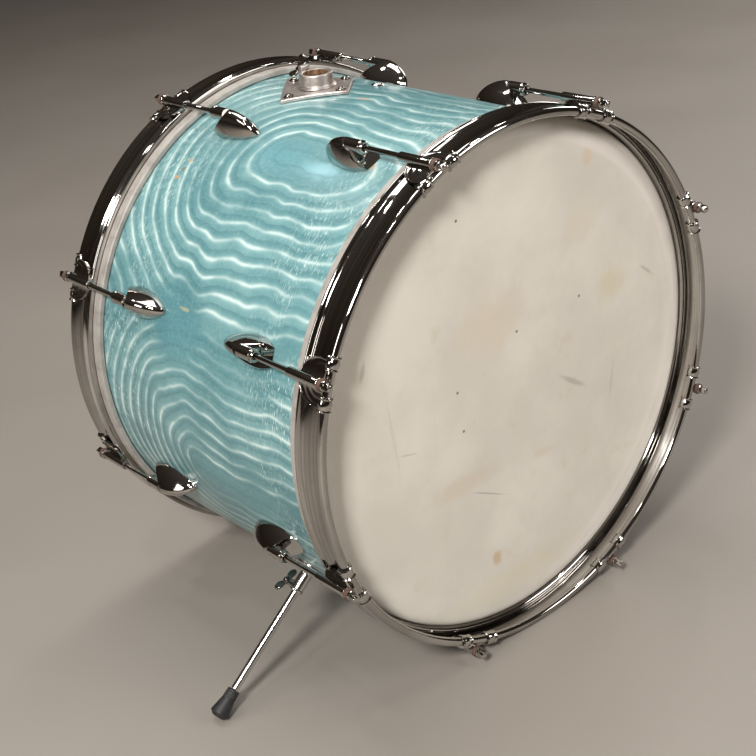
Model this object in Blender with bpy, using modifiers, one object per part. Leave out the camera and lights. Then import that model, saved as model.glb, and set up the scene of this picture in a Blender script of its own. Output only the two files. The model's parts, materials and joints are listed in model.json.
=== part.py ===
"""A 20 by 14 inch bass drum with chromed steel hoops, in metres with +Z up.

The drum lies on its hoops. Its axis runs along Y and its front head faces -Y. The origin is on the
surface that the drum stands on, below its middle. Angles go round the drum's axis from the top,
clockwise as seen from the front. Distances along the drum's axis are measured outwards from the
middle of the shell, so that both ends share one set of dimensions.
"""

from math import cos, pi, radians, sin, sqrt

import bmesh
import bpy
from mathutils import Matrix, Vector

# Turned rings. All of them share one step count, so that their flats lie over one another.
RING_STEPS = 64
HALF_STEP = pi / RING_STEPS
FLAT = cos(HALF_STEP)
GAP = 0.0003
MERGE = 0.00001

# Shell: a 14 inch deep cylinder with a bearing edge at each end.
SHELL_RADIUS = 0.2522
SHELL_WALL = 0.0065
SHELL_HALF = 0.1778
EDGE_ROUND = 0.0030

# Head: a plastic film over the bearing edge, bonded into an aluminium flesh hoop.
FILM = 0.0005
FLESH_RADIUS = 0.2586
FLESH_TOP = 0.1669
FLESH_HEIGHT = 0.0117

# Steel hoop: a channel that opens inwards, with a bead along each rim.
HOOP_RADIUS = 0.2640
HOOP_INNER = 0.2542
HOOP_END = 0.2040
HOOP_BASE = FLESH_TOP + GAP
HOOP_SHEET = 0.0018
HOOP_BEAD = 0.0054
AXIS_HEIGHT = HOOP_RADIUS * FLAT

# Tension stations: eight lugs, rods and claws at each end.
STATIONS = 8
STATION_STEP = 2 * pi / STATIONS
FIRST_STATION = STATION_STEP / 2
ROD_CIRCLE = 0.2700
ROD_RADIUS = 0.0031
ROD_BORE = 0.0038
ROD_SIDES = 8
COLLAR_RADIUS = 0.0054
HEAD_SQUARE = 0.0064
HEAD_BACK = 0.0013
HEAD_FRONT = 0.0110

# Lug: a tear-shaped dome, cut away in a slope towards the hoop, under a barrel for the rod's nut.
LUG_FACE = 0.1155
LUG_LENGTH = 0.0645
LUG_CREST = 0.0360
LUG_HALF_WIDTH = 0.0150
LUG_HEIGHT = 0.0235
LUG_NOSE = 0.0445
BARREL_RADIUS = 0.0064
BARREL_FRONT = -0.0020
BARREL_LENGTH = 0.0330
BARREL_DEPTH = 0.0160
BARREL_SIDES = 10
ROD_IN_LUG = 0.0140

# Claw: a fan-shaped plate over the hoop, a sleeve for the rod and two hooks round the rim.
SLEEVE_RADIUS = 0.0048
SLEEVE_BACK = -0.0440
SLEEVE_FRONT = -0.0030
COLLAR_BACK = SLEEVE_FRONT + GAP
FAN_OUTLINE = (
    (0.0046, -0.0400),
    (0.0072, -0.0250),
    (0.0128, -0.0150),
    (0.0225, -0.0095),
    (0.0225, -0.0070),
)
FAN_THICKNESS = 0.0026
HOOK_ANGLE = radians(3.9)
HOOK_WIDTH = 0.0120
HOOK_BACK = -0.0100
HOOK_TOP = 0.0030
HOOK_FRONT = 0.0030
HOOK_BOTTOM = -0.0122
LIP_BACK = -0.0050
LIP_TOP = -0.0105

# Tom mount: a diamond plate curved to the shell, with a socket ring, a boss and a wing screw.
MOUNT_PLACE = 0.0770
MOUNT_HALF_DIAGONAL = 0.0485
MOUNT_THICKNESS = 0.0042
MOUNT_CELLS = 6
SOCKET_RADIUS = 0.0175
SOCKET_BORE = 0.0130
SOCKET_TOP = 0.2685
SOCKET_SIDES = 24
BOSS_WIDTH = 0.0110
BOSS_REACH = 0.0215
BOSS_TOP = 0.2740
MOUNT_SCREW_HEIGHT = 0.2680
MOUNT_SCREW_RADIUS = 0.0026
MOUNT_SCREW_BORE = 0.0031
MOUNT_SCREW_TURN = radians(30)
MOUNT_SCREW_BACK = 0.0140
MOUNT_WING_START = 0.0235
MOUNT_WING_HALF = 0.0112
MOUNT_WING_DEPTH = 0.0110
WING_THICKNESS = 0.0028

# Vent: a small domed grommet beside the tom mount.
VENT_ANGLE = radians(11.6)
VENT_PLACE = 0.0424
VENT_RADIUS = 0.0070
VENT_BORE = 0.0032
VENT_HEIGHT = 0.0022

# Spurs: a sleeve bracket low on each side, and a leg that slides through it and through the shell.
SPUR_ANGLE = radians(128)
SPUR_PLACE = -0.0777
SPUR_FLANGE_RADIUS = 0.0170
SPUR_FLANGE = 0.0035
SPUR_SLEEVE_RADIUS = 0.0070
SPUR_SLEEVE_LENGTH = 0.0280
SPUR_BORE = 0.0046
SPUR_HOLE = 0.0055
SPUR_SCREW_HEIGHT = 0.0228
SPUR_BOSS_RADIUS = 0.0036
SPUR_BOSS_REACH = 0.0110
SPUR_SCREW_RADIUS = 0.0024
SPUR_WING_START = 0.0170
SPUR_WING_HALF = 0.0140
SPUR_WING_DEPTH = 0.0070
SPUR_WING_TURN = radians(22)
LEG_RADIUS = 0.0040
LEG_INNER_END = -0.0750
LEG_SIDES = 12
FOOT_NECK = 0.0062
FOOT_RADIUS = 0.0098
FOOT_LENGTH = 0.0260
FOOT_END_RADIUS = 0.0060
FOOT_ROUND = 0.0040
FOOT_CLEARANCE = 0.0002

CHROME = ("chrome", (0.62, 0.62, 0.64), 0.12, 1.0)
WRAP = ("aqua_satin_wrap", (0.16, 0.38, 0.39), 0.28, 0.0)
FILM_COLOUR = ("cream_film", (0.66, 0.60, 0.49), 0.55, 0.0)
CAST = ("satin_cast_metal", (0.45, 0.43, 0.41), 0.45, 1.0)
PLATED_LEG = ("plated_steel_leg", (0.66, 0.66, 0.67), 0.16, 1.0)


def clear_scene():
    for old in list(bpy.data.objects):
        bpy.data.objects.remove(old, do_unlink=True)


def new_collection(name):
    made = bpy.data.collections.new(name)
    bpy.context.scene.collection.children.link(made)
    return made


def material(settings):
    """The material of this name, made the first time that it is asked for."""
    name, colour, roughness, metallic = settings
    found = bpy.data.materials.get(name)
    if found:
        return found
    made = bpy.data.materials.new(name)
    made.use_nodes = True
    shader = made.node_tree.nodes["Principled BSDF"]
    shader.inputs["Base Color"].default_value = (*colour, 1.0)
    shader.inputs["Roughness"].default_value = roughness
    shader.inputs["Metallic"].default_value = metallic
    made.diffuse_color = (*colour, 1.0)
    return made


def smooth(mesh):
    mesh.shade_smooth()
    mesh.set_sharp_from_angle(angle=radians(35))


def place(name, mesh, settings, matrix, collection):
    """A named object that shows this mesh at this place. Copies of a piece share one mesh."""
    made = bpy.data.objects.new(name, mesh)
    collection.objects.link(made)
    made.matrix_world = matrix
    if not mesh.materials:
        mesh.materials.append(material(settings))
    return made


def mesh_of(shape):
    mesh = bpy.data.meshes.new("shape")
    shape.to_mesh(mesh)
    shape.free()
    return mesh


def moved(mesh, matrix):
    mesh.transform(matrix)
    return mesh


def box(low, high):
    """A block between two corners."""
    low, high = Vector(low), Vector(high)
    shape = bmesh.new()
    bmesh.ops.create_cube(shape, size=1.0)
    bmesh.ops.scale(shape, vec=high - low, verts=shape.verts)
    bmesh.ops.translate(shape, vec=(low + high) / 2, verts=shape.verts)
    return mesh_of(shape)


def cylinder(radius, start, end, sides):
    """A cylinder along Z, from start to end."""
    shape = bmesh.new()
    bmesh.ops.create_cone(
        shape,
        cap_ends=True,
        segments=sides,
        radius1=radius,
        radius2=radius,
        depth=end - start,
        matrix=Matrix.Translation((0, 0, (start + end) / 2)),
    )
    return mesh_of(shape)


def along_y(mesh):
    """Turns a shape made along Z to run along +Y."""
    return moved(mesh, Matrix.Rotation(-pi / 2, 4, "X"))


def profile_mesh(points, closed):
    """A line of points in the XZ plane, as (radius, height)."""
    shape = bmesh.new()
    verts = [shape.verts.new((radius, 0.0, height)) for radius, height in points]
    for first, second in zip(verts, verts[1:]):
        shape.edges.new((first, second))
    if closed:
        shape.edges.new((verts[-1], verts[0]))
    return mesh_of(shape)


def add_screw(target, steps):
    turn = target.modifiers.new("turn", "SCREW")
    turn.angle = 2 * pi
    turn.axis = "Z"
    turn.steps = steps
    turn.render_steps = steps
    turn.use_merge_vertices = True
    turn.merge_threshold = MERGE


def evaluated(source):
    """The mesh of an object with its modifiers applied."""
    bpy.context.view_layer.update()
    return bpy.data.meshes.new_from_object(source.evaluated_get(bpy.context.evaluated_depsgraph_get()))


def turned(points, steps, closed=False):
    """A turned solid about Z as a finished mesh."""
    temporary = bpy.data.objects.new("turned", profile_mesh(points, closed))
    bpy.context.scene.collection.objects.link(temporary)
    add_screw(temporary, steps)
    mesh = evaluated(temporary)
    bpy.data.objects.remove(temporary)
    return mesh


def plate(outline, thickness):
    """A flat outline in the XY plane, made solid by half its thickness each way."""
    curve = bpy.data.curves.new("outline", "CURVE")
    curve.dimensions = "2D"
    curve.fill_mode = "BOTH"
    curve.extrude = thickness / 2
    spline = curve.splines.new("POLY")
    spline.points.add(len(outline) - 1)
    for point, (x, y) in zip(spline.points, outline):
        point.co = (x, y, 0.0, 1.0)
    spline.use_cyclic_u = True
    temporary = bpy.data.objects.new("plate", curve)
    bpy.context.scene.collection.objects.link(temporary)
    mesh = evaluated(temporary)
    bpy.data.objects.remove(temporary)
    shape = bmesh.new()
    shape.from_mesh(mesh)
    bmesh.ops.remove_doubles(shape, verts=shape.verts, dist=MERGE)
    bmesh.ops.recalc_face_normals(shape, faces=shape.faces)
    return mesh_of(shape)


def solid(shapes, cutters=()):
    """One mesh: the shapes joined into one body, less the cutters."""
    parts = []
    for mesh in (*shapes, *cutters):
        part = bpy.data.objects.new("part", mesh)
        bpy.context.scene.collection.objects.link(part)
        parts.append(part)
    base = parts[0]
    for number, part in enumerate(parts[1:], 1):
        step = base.modifiers.new("step", "BOOLEAN")
        step.object = part
        step.operation = "UNION" if number < len(shapes) else "DIFFERENCE"
    mesh = evaluated(base)
    for part in parts:
        bpy.data.objects.remove(part)
    smooth(mesh)
    return mesh


def end_matrix(outward):
    """Turns a ring made about Z so that its +Z points out of one end: -1 is the front, 1 the back."""
    tilt = Matrix.Rotation(-outward * pi / 2, 4, "X")
    return Matrix.Translation((0, 0, AXIS_HEIGHT)) @ tilt @ Matrix.Rotation(HALF_STEP, 4, "Z")


def radial_matrix(angle, radius, place_on_axis):
    """A place on the drum's side: its Z points out of the shell and its Y points to the back."""
    out = Vector((sin(angle), 0.0, cos(angle)))
    back = Vector((0.0, 1.0, 0.0))
    side = back.cross(out)
    place_at = out * radius + back * place_on_axis + Vector((0.0, 0.0, AXIS_HEIGHT))
    turn = Matrix((side, back, out)).transposed().to_4x4()
    return Matrix.Translation(place_at) @ turn


def station_matrix(number, outward, radius, distance):
    """The place of one tension station at one end, with its Y pointing out of that end."""
    angle = FIRST_STATION + (number - 1) * STATION_STEP
    matrix = radial_matrix(angle, radius, outward * distance)
    return matrix if outward > 0 else matrix @ Matrix.Rotation(pi, 4, "Z")


def shell_profile():
    """The wall's section: outside top to bottom, then the inside back up."""
    inner = SHELL_RADIUS - SHELL_WALL
    crown = SHELL_RADIUS - EDGE_ROUND
    bevel = crown - inner
    outer_end = SHELL_HALF - EDGE_ROUND
    inner_end = SHELL_HALF - bevel
    return (
        (crown, SHELL_HALF),
        (SHELL_RADIUS, outer_end),
        (SHELL_RADIUS, -outer_end),
        (crown, -SHELL_HALF),
        (inner, -inner_end),
        (inner, inner_end),
    )


def add_cut(target, mesh, matrix, cutters):
    """Takes a shape away from the target and keeps it as a hidden helper."""
    cutter = bpy.data.objects.new(target.name + "_cutter", mesh)
    cutters.objects.link(cutter)
    cutter.matrix_world = matrix
    cutter.hide_render = True
    cutter.display_type = "WIRE"
    cut = target.modifiers.new("cut", "BOOLEAN")
    cut.object = cutter
    cut.operation = "DIFFERENCE"


def make_shell(drum, cutters):
    shell = place("shell", profile_mesh(shell_profile(), True), WRAP, end_matrix(-1), drum)
    add_screw(shell, RING_STEPS)
    depth = 3 * SHELL_WALL
    socket_hole = cylinder(SOCKET_BORE + 2 * GAP, -depth, depth, SOCKET_SIDES)
    add_cut(shell, socket_hole, radial_matrix(0.0, SHELL_RADIUS, MOUNT_PLACE), cutters)
    vent_hole = cylinder(VENT_BORE + GAP, -depth, depth, LEG_SIDES)
    add_cut(shell, vent_hole, radial_matrix(VENT_ANGLE, SHELL_RADIUS, VENT_PLACE), cutters)
    for side in (-1, 1):
        leg_hole = cylinder(SPUR_HOLE, -depth, depth, LEG_SIDES)
        add_cut(shell, leg_hole, radial_matrix(side * SPUR_ANGLE, SHELL_RADIUS, SPUR_PLACE), cutters)


def head_profile():
    """The film from its middle out, over the bearing edge and round the flesh hoop, and back under."""
    inner = SHELL_RADIUS + GAP + 0.0001
    crown = SHELL_RADIUS - EDGE_ROUND
    under = SHELL_HALF + GAP
    return (
        (0.0, under + FILM),
        (crown + FILM, under + FILM),
        (inner + FILM, under - EDGE_ROUND + FILM),
        (inner + FILM, FLESH_TOP),
        (FLESH_RADIUS, FLESH_TOP),
        (FLESH_RADIUS, FLESH_TOP - FLESH_HEIGHT),
        (inner, FLESH_TOP - FLESH_HEIGHT),
        (inner, under - EDGE_ROUND),
        (crown, under),
        (0.0, under),
    )


def hoop_profile():
    """The channel's section: front flange, outer beads and band, back flange, and the inside."""
    band = HOOP_RADIUS - HOOP_SHEET
    inside = band - HOOP_SHEET
    corner = HOOP_RADIUS - 0.0022
    return (
        (HOOP_INNER, HOOP_END),
        (corner, HOOP_END),
        (HOOP_RADIUS, HOOP_END - 0.0022),
        (HOOP_RADIUS, HOOP_END - HOOP_BEAD),
        (band, HOOP_END - HOOP_BEAD - HOOP_SHEET),
        (band, HOOP_BASE + HOOP_BEAD + HOOP_SHEET),
        (HOOP_RADIUS, HOOP_BASE + HOOP_BEAD),
        (HOOP_RADIUS, HOOP_BASE),
        (HOOP_INNER, HOOP_BASE),
        (HOOP_INNER, HOOP_BASE + HOOP_SHEET),
        (inside, HOOP_BASE + HOOP_SHEET),
        (inside, HOOP_END - HOOP_SHEET),
        (HOOP_INNER, HOOP_END - HOOP_SHEET),
    )


def make_rings(drum):
    head = profile_mesh(head_profile(), False)
    hoop = profile_mesh(hoop_profile(), True)
    for end, outward in (("front", -1), ("back", 1)):
        add_screw(place(end + "_head", head, FILM_COLOUR, end_matrix(outward), drum), RING_STEPS)
        add_screw(place(end + "_hoop", hoop, CHROME, end_matrix(outward), drum), RING_STEPS)


def lug_mesh():
    """Origin on the shell under the lug's face. The lug lies towards -Y."""
    shape = bmesh.new()
    bmesh.ops.create_uvsphere(shape, u_segments=12, v_segments=7, radius=1.0)
    for vert in shape.verts:
        nose = vert.co.y > 0
        vert.co.x *= LUG_HALF_WIDTH
        vert.co.y *= LUG_NOSE if nose else LUG_LENGTH - LUG_CREST
        vert.co.y -= LUG_CREST
        vert.co.z *= LUG_HEIGHT
    slope = Vector((0.0, LUG_HEIGHT, LUG_CREST)).normalized()
    for point, normal in (
        (Vector((0, 0, 0)), Vector((0, 0, -1))),
        (Vector((0, 0, 0.0012)), slope),
        (Vector((0, 0, 0)), Vector((0, 1, 0))),
    ):
        everything = shape.verts[:] + shape.edges[:] + shape.faces[:]
        cut = bmesh.ops.bisect_plane(
            shape, geom=everything, plane_co=point, plane_no=normal, clear_outer=True, dist=MERGE
        )
        rim = [item for item in cut["geom_cut"] if isinstance(item, bmesh.types.BMEdge)]
        bmesh.ops.contextual_create(shape, geom=rim)
    dome = mesh_of(shape)
    height = ROD_CIRCLE - SHELL_RADIUS
    barrel = along_y(cylinder(BARREL_RADIUS, -BARREL_LENGTH, BARREL_FRONT, BARREL_SIDES))
    bore = along_y(cylinder(ROD_BORE, -BARREL_DEPTH, GAP, ROD_SIDES))
    lift = Matrix.Translation((0, 0, height))
    return solid((dome, moved(barrel, lift)), (moved(bore, lift),))


def rod_mesh():
    """A tension rod along Y, with its collar and square head. Origin at the hoop's rim."""
    inner_end = LUG_FACE - HOOP_END - ROD_IN_LUG
    shaft = turned(
        (
            (0.0, HEAD_BACK),
            (COLLAR_RADIUS, HEAD_BACK),
            (COLLAR_RADIUS, COLLAR_BACK),
            (ROD_RADIUS, COLLAR_BACK),
            (ROD_RADIUS, inner_end),
            (0.0, inner_end),
        ),
        ROD_SIDES,
    )
    half = HEAD_SQUARE / 2
    head = box((-half, HEAD_BACK - 0.0005, -half), (half, HEAD_FRONT, half))
    return solid((along_y(shaft), head))


def hook_mesh(side):
    """One hook: over the rim, down its face and back under its inner edge."""
    outline = (
        (HOOK_BACK, GAP),
        (HOOK_BACK, HOOK_TOP - 0.0012),
        (HOOK_BACK + 0.0020, HOOK_TOP),
        (HOOK_FRONT - 0.0018, HOOK_TOP),
        (HOOK_FRONT, HOOK_TOP - 0.0018),
        (HOOK_FRONT, HOOK_BOTTOM + 0.0015),
        (HOOK_FRONT - 0.0015, HOOK_BOTTOM),
        (LIP_BACK, HOOK_BOTTOM),
        (LIP_BACK, LIP_TOP),
        (GAP, LIP_TOP),
        (GAP, GAP),
    )
    # The outline is drawn as (along the drum, out of the drum), and stood up across the hoop.
    stand = Matrix(((0, 0, 1, 0), (1, 0, 0, 0), (0, 1, 0, 0), (0, 0, 0, 1)))
    mesh = moved(plate(outline, HOOK_WIDTH), stand)
    centre = Matrix.Translation((0, 0, -HOOP_RADIUS))
    return moved(mesh, centre @ Matrix.Rotation(side * HOOK_ANGLE, 4, "Y") @ centre.inverted())


def claw_mesh():
    """Origin on the hoop's outer surface at its rim. The claw lies towards -Y."""
    right = list(FAN_OUTLINE)
    left = [(-x, y) for x, y in reversed(FAN_OUTLINE)]
    fan = moved(plate(right + left, FAN_THICKNESS), Matrix.Translation((0, 0, GAP + FAN_THICKNESS / 2)))
    lift = Matrix.Translation((0, 0, ROD_CIRCLE - HOOP_RADIUS))
    sleeve = moved(along_y(cylinder(SLEEVE_RADIUS, SLEEVE_BACK, SLEEVE_FRONT, BARREL_SIDES)), lift)
    bore = moved(along_y(cylinder(ROD_BORE, 1.2 * SLEEVE_BACK, 0.5 * SLEEVE_FRONT, ROD_SIDES)), lift)
    return solid((fan, sleeve, hook_mesh(-1), hook_mesh(1)), (bore,))


def make_stations(drum):
    lug, tension_rod, claw = lug_mesh(), rod_mesh(), claw_mesh()
    for end, outward in (("front", -1), ("back", 1)):
        for number in range(1, STATIONS + 1):
            lug_place = station_matrix(number, outward, SHELL_RADIUS, LUG_FACE)
            place(f"{end}_lug_{number}", lug, CHROME, lug_place, drum)
            rod_place = station_matrix(number, outward, ROD_CIRCLE, HOOP_END)
            place(f"{end}_tension_rod_{number}", tension_rod, CHROME, rod_place, drum)
            claw_place = station_matrix(number, outward, HOOP_RADIUS, HOOP_END)
            place(f"{end}_claw_{number}", claw, CHROME, claw_place, drum)


def curved_diamond():
    """The mount's plate: a square grid stood on its corner and bent round the shell."""
    shape = bmesh.new()
    bmesh.ops.create_grid(shape, x_segments=MOUNT_CELLS, y_segments=MOUNT_CELLS, size=1.0)
    half_side = MOUNT_HALF_DIAGONAL / sqrt(2)
    bmesh.ops.scale(shape, vec=(half_side, half_side, 1.0), verts=shape.verts)
    bmesh.ops.rotate(shape, matrix=Matrix.Rotation(pi / 4, 3, "Z"), verts=shape.verts)
    grown = bmesh.ops.extrude_face_region(shape, geom=shape.faces[:])
    top = {item for item in grown["geom"] if isinstance(item, bmesh.types.BMVert)}
    for vert in shape.verts:
        height = MOUNT_THICKNESS if vert in top else 1.5 * GAP
        angle = vert.co.x / SHELL_RADIUS
        radius = SHELL_RADIUS + height
        vert.co.x = radius * sin(angle)
        vert.co.z = radius * cos(angle) - SHELL_RADIUS
    bmesh.ops.recalc_face_normals(shape, faces=shape.faces)
    return mesh_of(shape)


def make_mount(drum):
    base_place = radial_matrix(0.0, SHELL_RADIUS, MOUNT_PLACE)
    ring_top = SOCKET_TOP - SHELL_RADIUS
    boss_top = BOSS_TOP - SHELL_RADIUS
    screw_height = MOUNT_SCREW_HEIGHT - SHELL_RADIUS
    ring = cylinder(SOCKET_RADIUS, MOUNT_THICKNESS / 2, ring_top, SOCKET_SIDES)
    boss_back = (SOCKET_BORE + SOCKET_RADIUS) / 2
    boss = box((-BOSS_WIDTH / 2, boss_back, MOUNT_THICKNESS / 2), (BOSS_WIDTH / 2, BOSS_REACH, boss_top))
    bore = cylinder(SOCKET_BORE, -MOUNT_THICKNESS, 2 * ring_top, SOCKET_SIDES)
    screw_lift = Matrix.Translation((0, 0, screw_height))
    tapped = moved(along_y(cylinder(MOUNT_SCREW_BORE, 0.0, 2 * BOSS_REACH, 12)), screw_lift)
    base = solid((curved_diamond(), ring, boss), (bore, tapped))
    place("tom_mount_base", base, CAST, base_place, drum)
    shaft = along_y(cylinder(MOUNT_SCREW_RADIUS, MOUNT_SCREW_BACK, MOUNT_WING_START + 0.0020, 10))
    wing = wing_mesh(MOUNT_WING_HALF, MOUNT_WING_DEPTH, MOUNT_WING_START)
    screw_place = base_place @ screw_lift @ Matrix.Rotation(-MOUNT_SCREW_TURN, 4, "Y")
    place("tom_mount_wing_screw", solid((shaft, wing)), CHROME, screw_place, drum)


def wing_mesh(half_span, depth, start):
    """A wing screw's blade beside its shaft, which runs along Y. It is narrow in the middle."""
    waist = 0.45 * depth
    shoulder = 0.4 * half_span
    right = (
        (0.0, 0.0),
        (shoulder, 0.0),
        (0.85 * half_span, 0.15 * depth),
        (half_span, 0.5 * depth),
        (0.85 * half_span, 0.95 * depth),
        (0.6 * half_span, depth),
        (shoulder, 0.8 * depth),
        (0.0, waist),
    )
    left = tuple((-x, y) for x, y in reversed(right[1:-1]))
    return moved(plate(right + left, WING_THICKNESS), Matrix.Translation((0, start, 0)))


def make_vent(drum):
    dome = turned(
        (
            (VENT_BORE, VENT_HEIGHT),
            (0.7 * VENT_RADIUS, VENT_HEIGHT),
            (VENT_RADIUS, GAP + 0.0005),
            (VENT_RADIUS, GAP),
            (VENT_BORE, GAP),
        ),
        LEG_SIDES,
        closed=True,
    )
    smooth(dome)
    place("vent_grommet", dome, CHROME, radial_matrix(VENT_ANGLE, SHELL_RADIUS, VENT_PLACE), drum)


def bracket_mesh():
    """Origin on the shell on the spur's axis, which is Z. The wing screw lies along +Y."""
    flange = cylinder(SPUR_FLANGE_RADIUS, GAP, SPUR_FLANGE, 16)
    sleeve = cylinder(SPUR_SLEEVE_RADIUS, GAP, SPUR_SLEEVE_LENGTH, 16)
    lift = Matrix.Translation((0, 0, SPUR_SCREW_HEIGHT))
    boss_start = (SPUR_BORE + SPUR_SLEEVE_RADIUS) / 2
    boss = moved(along_y(cylinder(SPUR_BOSS_RADIUS, boss_start, SPUR_BOSS_REACH, 10)), lift)
    screw = cylinder(SPUR_SCREW_RADIUS, boss_start + 0.0003, SPUR_WING_START + 0.002, 8)
    screw = moved(along_y(screw), lift)
    blade = wing_mesh(SPUR_WING_HALF, SPUR_WING_DEPTH, SPUR_WING_START)
    bore = cylinder(SPUR_BORE, -SPUR_FLANGE, 2 * SPUR_SLEEVE_LENGTH, LEG_SIDES)
    blade_turn = Matrix.Rotation(pi / 2 + SPUR_WING_TURN, 4, "Y")
    return solid((flange, sleeve, boss, screw, moved(blade, lift @ blade_turn)), (bore,))


def foot_end():
    """Where the foot's widest ring stops on the spur's axis, so that it just clears the floor."""
    lean = pi - SPUR_ANGLE
    reach = AXIS_HEIGHT - FOOT_CLEARANCE
    widest = (reach - FOOT_RADIUS * sin(lean)) / cos(lean)
    rounded = (reach - FOOT_END_RADIUS * sin(lean)) / cos(lean) - FOOT_ROUND
    return min(widest, rounded) - SHELL_RADIUS


def leg_mesh():
    """A leg along Z with its rubber foot, from its end inside the drum to the floor."""
    end = foot_end()
    return turned(
        (
            (0.0, end + FOOT_ROUND),
            (FOOT_END_RADIUS, end + FOOT_ROUND),
            (FOOT_RADIUS, end),
            (FOOT_NECK, end - FOOT_LENGTH),
            (LEG_RADIUS, end - FOOT_LENGTH),
            (LEG_RADIUS, LEG_INNER_END),
            (0.0, LEG_INNER_END),
        ),
        LEG_SIDES,
    )


def make_spurs(drum):
    bracket, leg = bracket_mesh(), leg_mesh()
    smooth(leg)
    for side, sign in (("left", -1), ("right", 1)):
        spur_place = radial_matrix(sign * SPUR_ANGLE, SHELL_RADIUS, SPUR_PLACE)
        place(side + "_spur_bracket", bracket, CHROME, spur_place, drum)
        place(side + "_spur_leg", leg, PLATED_LEG, spur_place, drum)


def build():
    clear_scene()
    drum = new_collection("bass_drum")
    cutters = new_collection("cutters")
    make_shell(drum, cutters)
    make_rings(drum)
    make_stations(drum)
    make_mount(drum)
    make_vent(drum)
    make_spurs(drum)


build()
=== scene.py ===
"""The looks of an old 20 by 14 inch bass drum: aqua satin-flame wrap, chromed hoops and hardware.

Lengths are in metres. Angles go round the drum's axis from the top, clockwise as seen from the front.
The front head faces -Y. Distances along the axis are measured outwards from the middle of the shell.
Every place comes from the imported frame. The constants here are only the sizes of fine detail.
"""

import json
from math import asin, atan2, cos, exp, hypot, pi, radians, sin, sqrt, tan

import bmesh
import bpy
from mathutils import Matrix, Vector


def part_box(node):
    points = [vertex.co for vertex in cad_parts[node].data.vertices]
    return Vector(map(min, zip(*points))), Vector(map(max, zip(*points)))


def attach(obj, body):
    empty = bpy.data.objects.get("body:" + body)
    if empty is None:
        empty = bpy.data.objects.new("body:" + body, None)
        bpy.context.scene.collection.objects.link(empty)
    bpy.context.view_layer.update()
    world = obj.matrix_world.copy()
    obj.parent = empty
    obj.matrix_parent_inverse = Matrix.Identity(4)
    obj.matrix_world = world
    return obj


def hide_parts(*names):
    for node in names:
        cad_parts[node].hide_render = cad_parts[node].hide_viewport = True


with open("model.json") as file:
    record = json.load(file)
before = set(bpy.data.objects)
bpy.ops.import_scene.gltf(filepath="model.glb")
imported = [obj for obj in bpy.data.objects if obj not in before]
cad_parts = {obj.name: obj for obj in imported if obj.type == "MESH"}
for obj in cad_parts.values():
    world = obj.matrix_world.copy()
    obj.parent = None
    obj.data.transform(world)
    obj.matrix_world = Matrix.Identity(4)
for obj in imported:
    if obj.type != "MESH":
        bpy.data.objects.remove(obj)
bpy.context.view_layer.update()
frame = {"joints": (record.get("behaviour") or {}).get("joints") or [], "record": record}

# Places and main sizes, read from the frame.
HOOP_LOW, HOOP_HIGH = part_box("front_hoop")
SHELL_LOW, SHELL_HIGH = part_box("shell")
HEAD_LOW, HEAD_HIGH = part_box("front_head")
LUG_LOW, LUG_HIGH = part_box("front_lug_1")
CLAW_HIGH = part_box("front_claw_1")[1]
ROD_LOW, ROD_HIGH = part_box("front_tension_rod_1")
MOUNT_LOW, MOUNT_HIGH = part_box("tom_mount_base")
VENT_LOW, VENT_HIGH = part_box("vent_grommet")
JOINTS = {joint["child"]: joint for joint in frame["joints"]}
MOUNTS = {mount["name"]: mount for mount in frame["record"]["mounts"]}

AXIS_HEIGHT = (HOOP_LOW.z + HOOP_HIGH.z) / 2
HOOP_RADIUS = (HOOP_HIGH.x - HOOP_LOW.x) / 2
HOOP_END = -HOOP_LOW.y
HOOP_BASE = -HOOP_HIGH.y
SHELL_RADIUS = (SHELL_HIGH.x - SHELL_LOW.x) / 2
SHELL_HALF = -SHELL_LOW.y
FILM_FACE = -HEAD_LOW.y
FLESH_BASE = -HEAD_HIGH.y
FLESH_RADIUS = (HEAD_HIGH.x - HEAD_LOW.x) / 2
LUG_FACE = -LUG_LOW.y
LUG_LENGTH = LUG_HIGH.y - LUG_LOW.y
SLEEVE_BACK = -CLAW_HIGH.y - HOOP_END
ROD_INNER = -ROD_HIGH.y - HOOP_END
ROD_OUTER = -ROD_LOW.y - HOOP_END
MOUNT_PLACE = (MOUNT_LOW.y + MOUNT_HIGH.y) / 2
MOUNT_HALF = (MOUNT_HIGH.y - MOUNT_LOW.y) / 2
SOCKET_TOP = MOUNTS["tom_socket_top"]["pos_m"][2] - AXIS_HEIGHT
DRUM_CENTRE = Vector((0.0, 0.0, AXIS_HEIGHT))


def polar(point):
    """The angle round the drum's axis and the distance from it."""
    x, z = point[0], point[2] - AXIS_HEIGHT
    return atan2(x, z), hypot(x, z)


ROD_CIRCLE = polar(JOINTS["front_tension_rod_1"]["pos_m"])[1]
ROD_LIFT = ROD_CIRCLE - SHELL_RADIUS

# Steps round a large ring, and round a small corner.
ROUND = 256
CORNER_STEPS = 4

# Fine sizes of the shell, hoops and rods.
SHELL_WALL = 0.0065
EDGE_BEVEL = 0.0032
SOCKET_HOLE = 0.0135
VENT_HOLE = 0.0030
LEG_HOLE = 0.0052
HOLE_DEPTH = 0.0300
HOOP_ROLL = 0.0043
HOOP_SHEET = 0.0012
ROD_RADIUS = 0.0029
SLEEVE_RADIUS = 0.0046
SLEEVE_FRONT = -0.0030
WASHER_RADIUS = 0.0057
WASHER_FRONT = 0.0013
COLLAR_FRONT = 0.0028
HOOK_ANGLE = radians(3.9)


# ---- mesh tools


def mesh_of(shape):
    mesh = bpy.data.meshes.new("piece")
    shape.to_mesh(mesh)
    shape.free()
    return mesh


def moved(mesh, *matrices):
    for matrix in matrices:
        mesh.transform(matrix)
    return mesh


def joined(*meshes):
    """Several meshes as one."""
    shape = bmesh.new()
    for mesh in meshes:
        shape.from_mesh(mesh)
    return mesh_of(shape)


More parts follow.
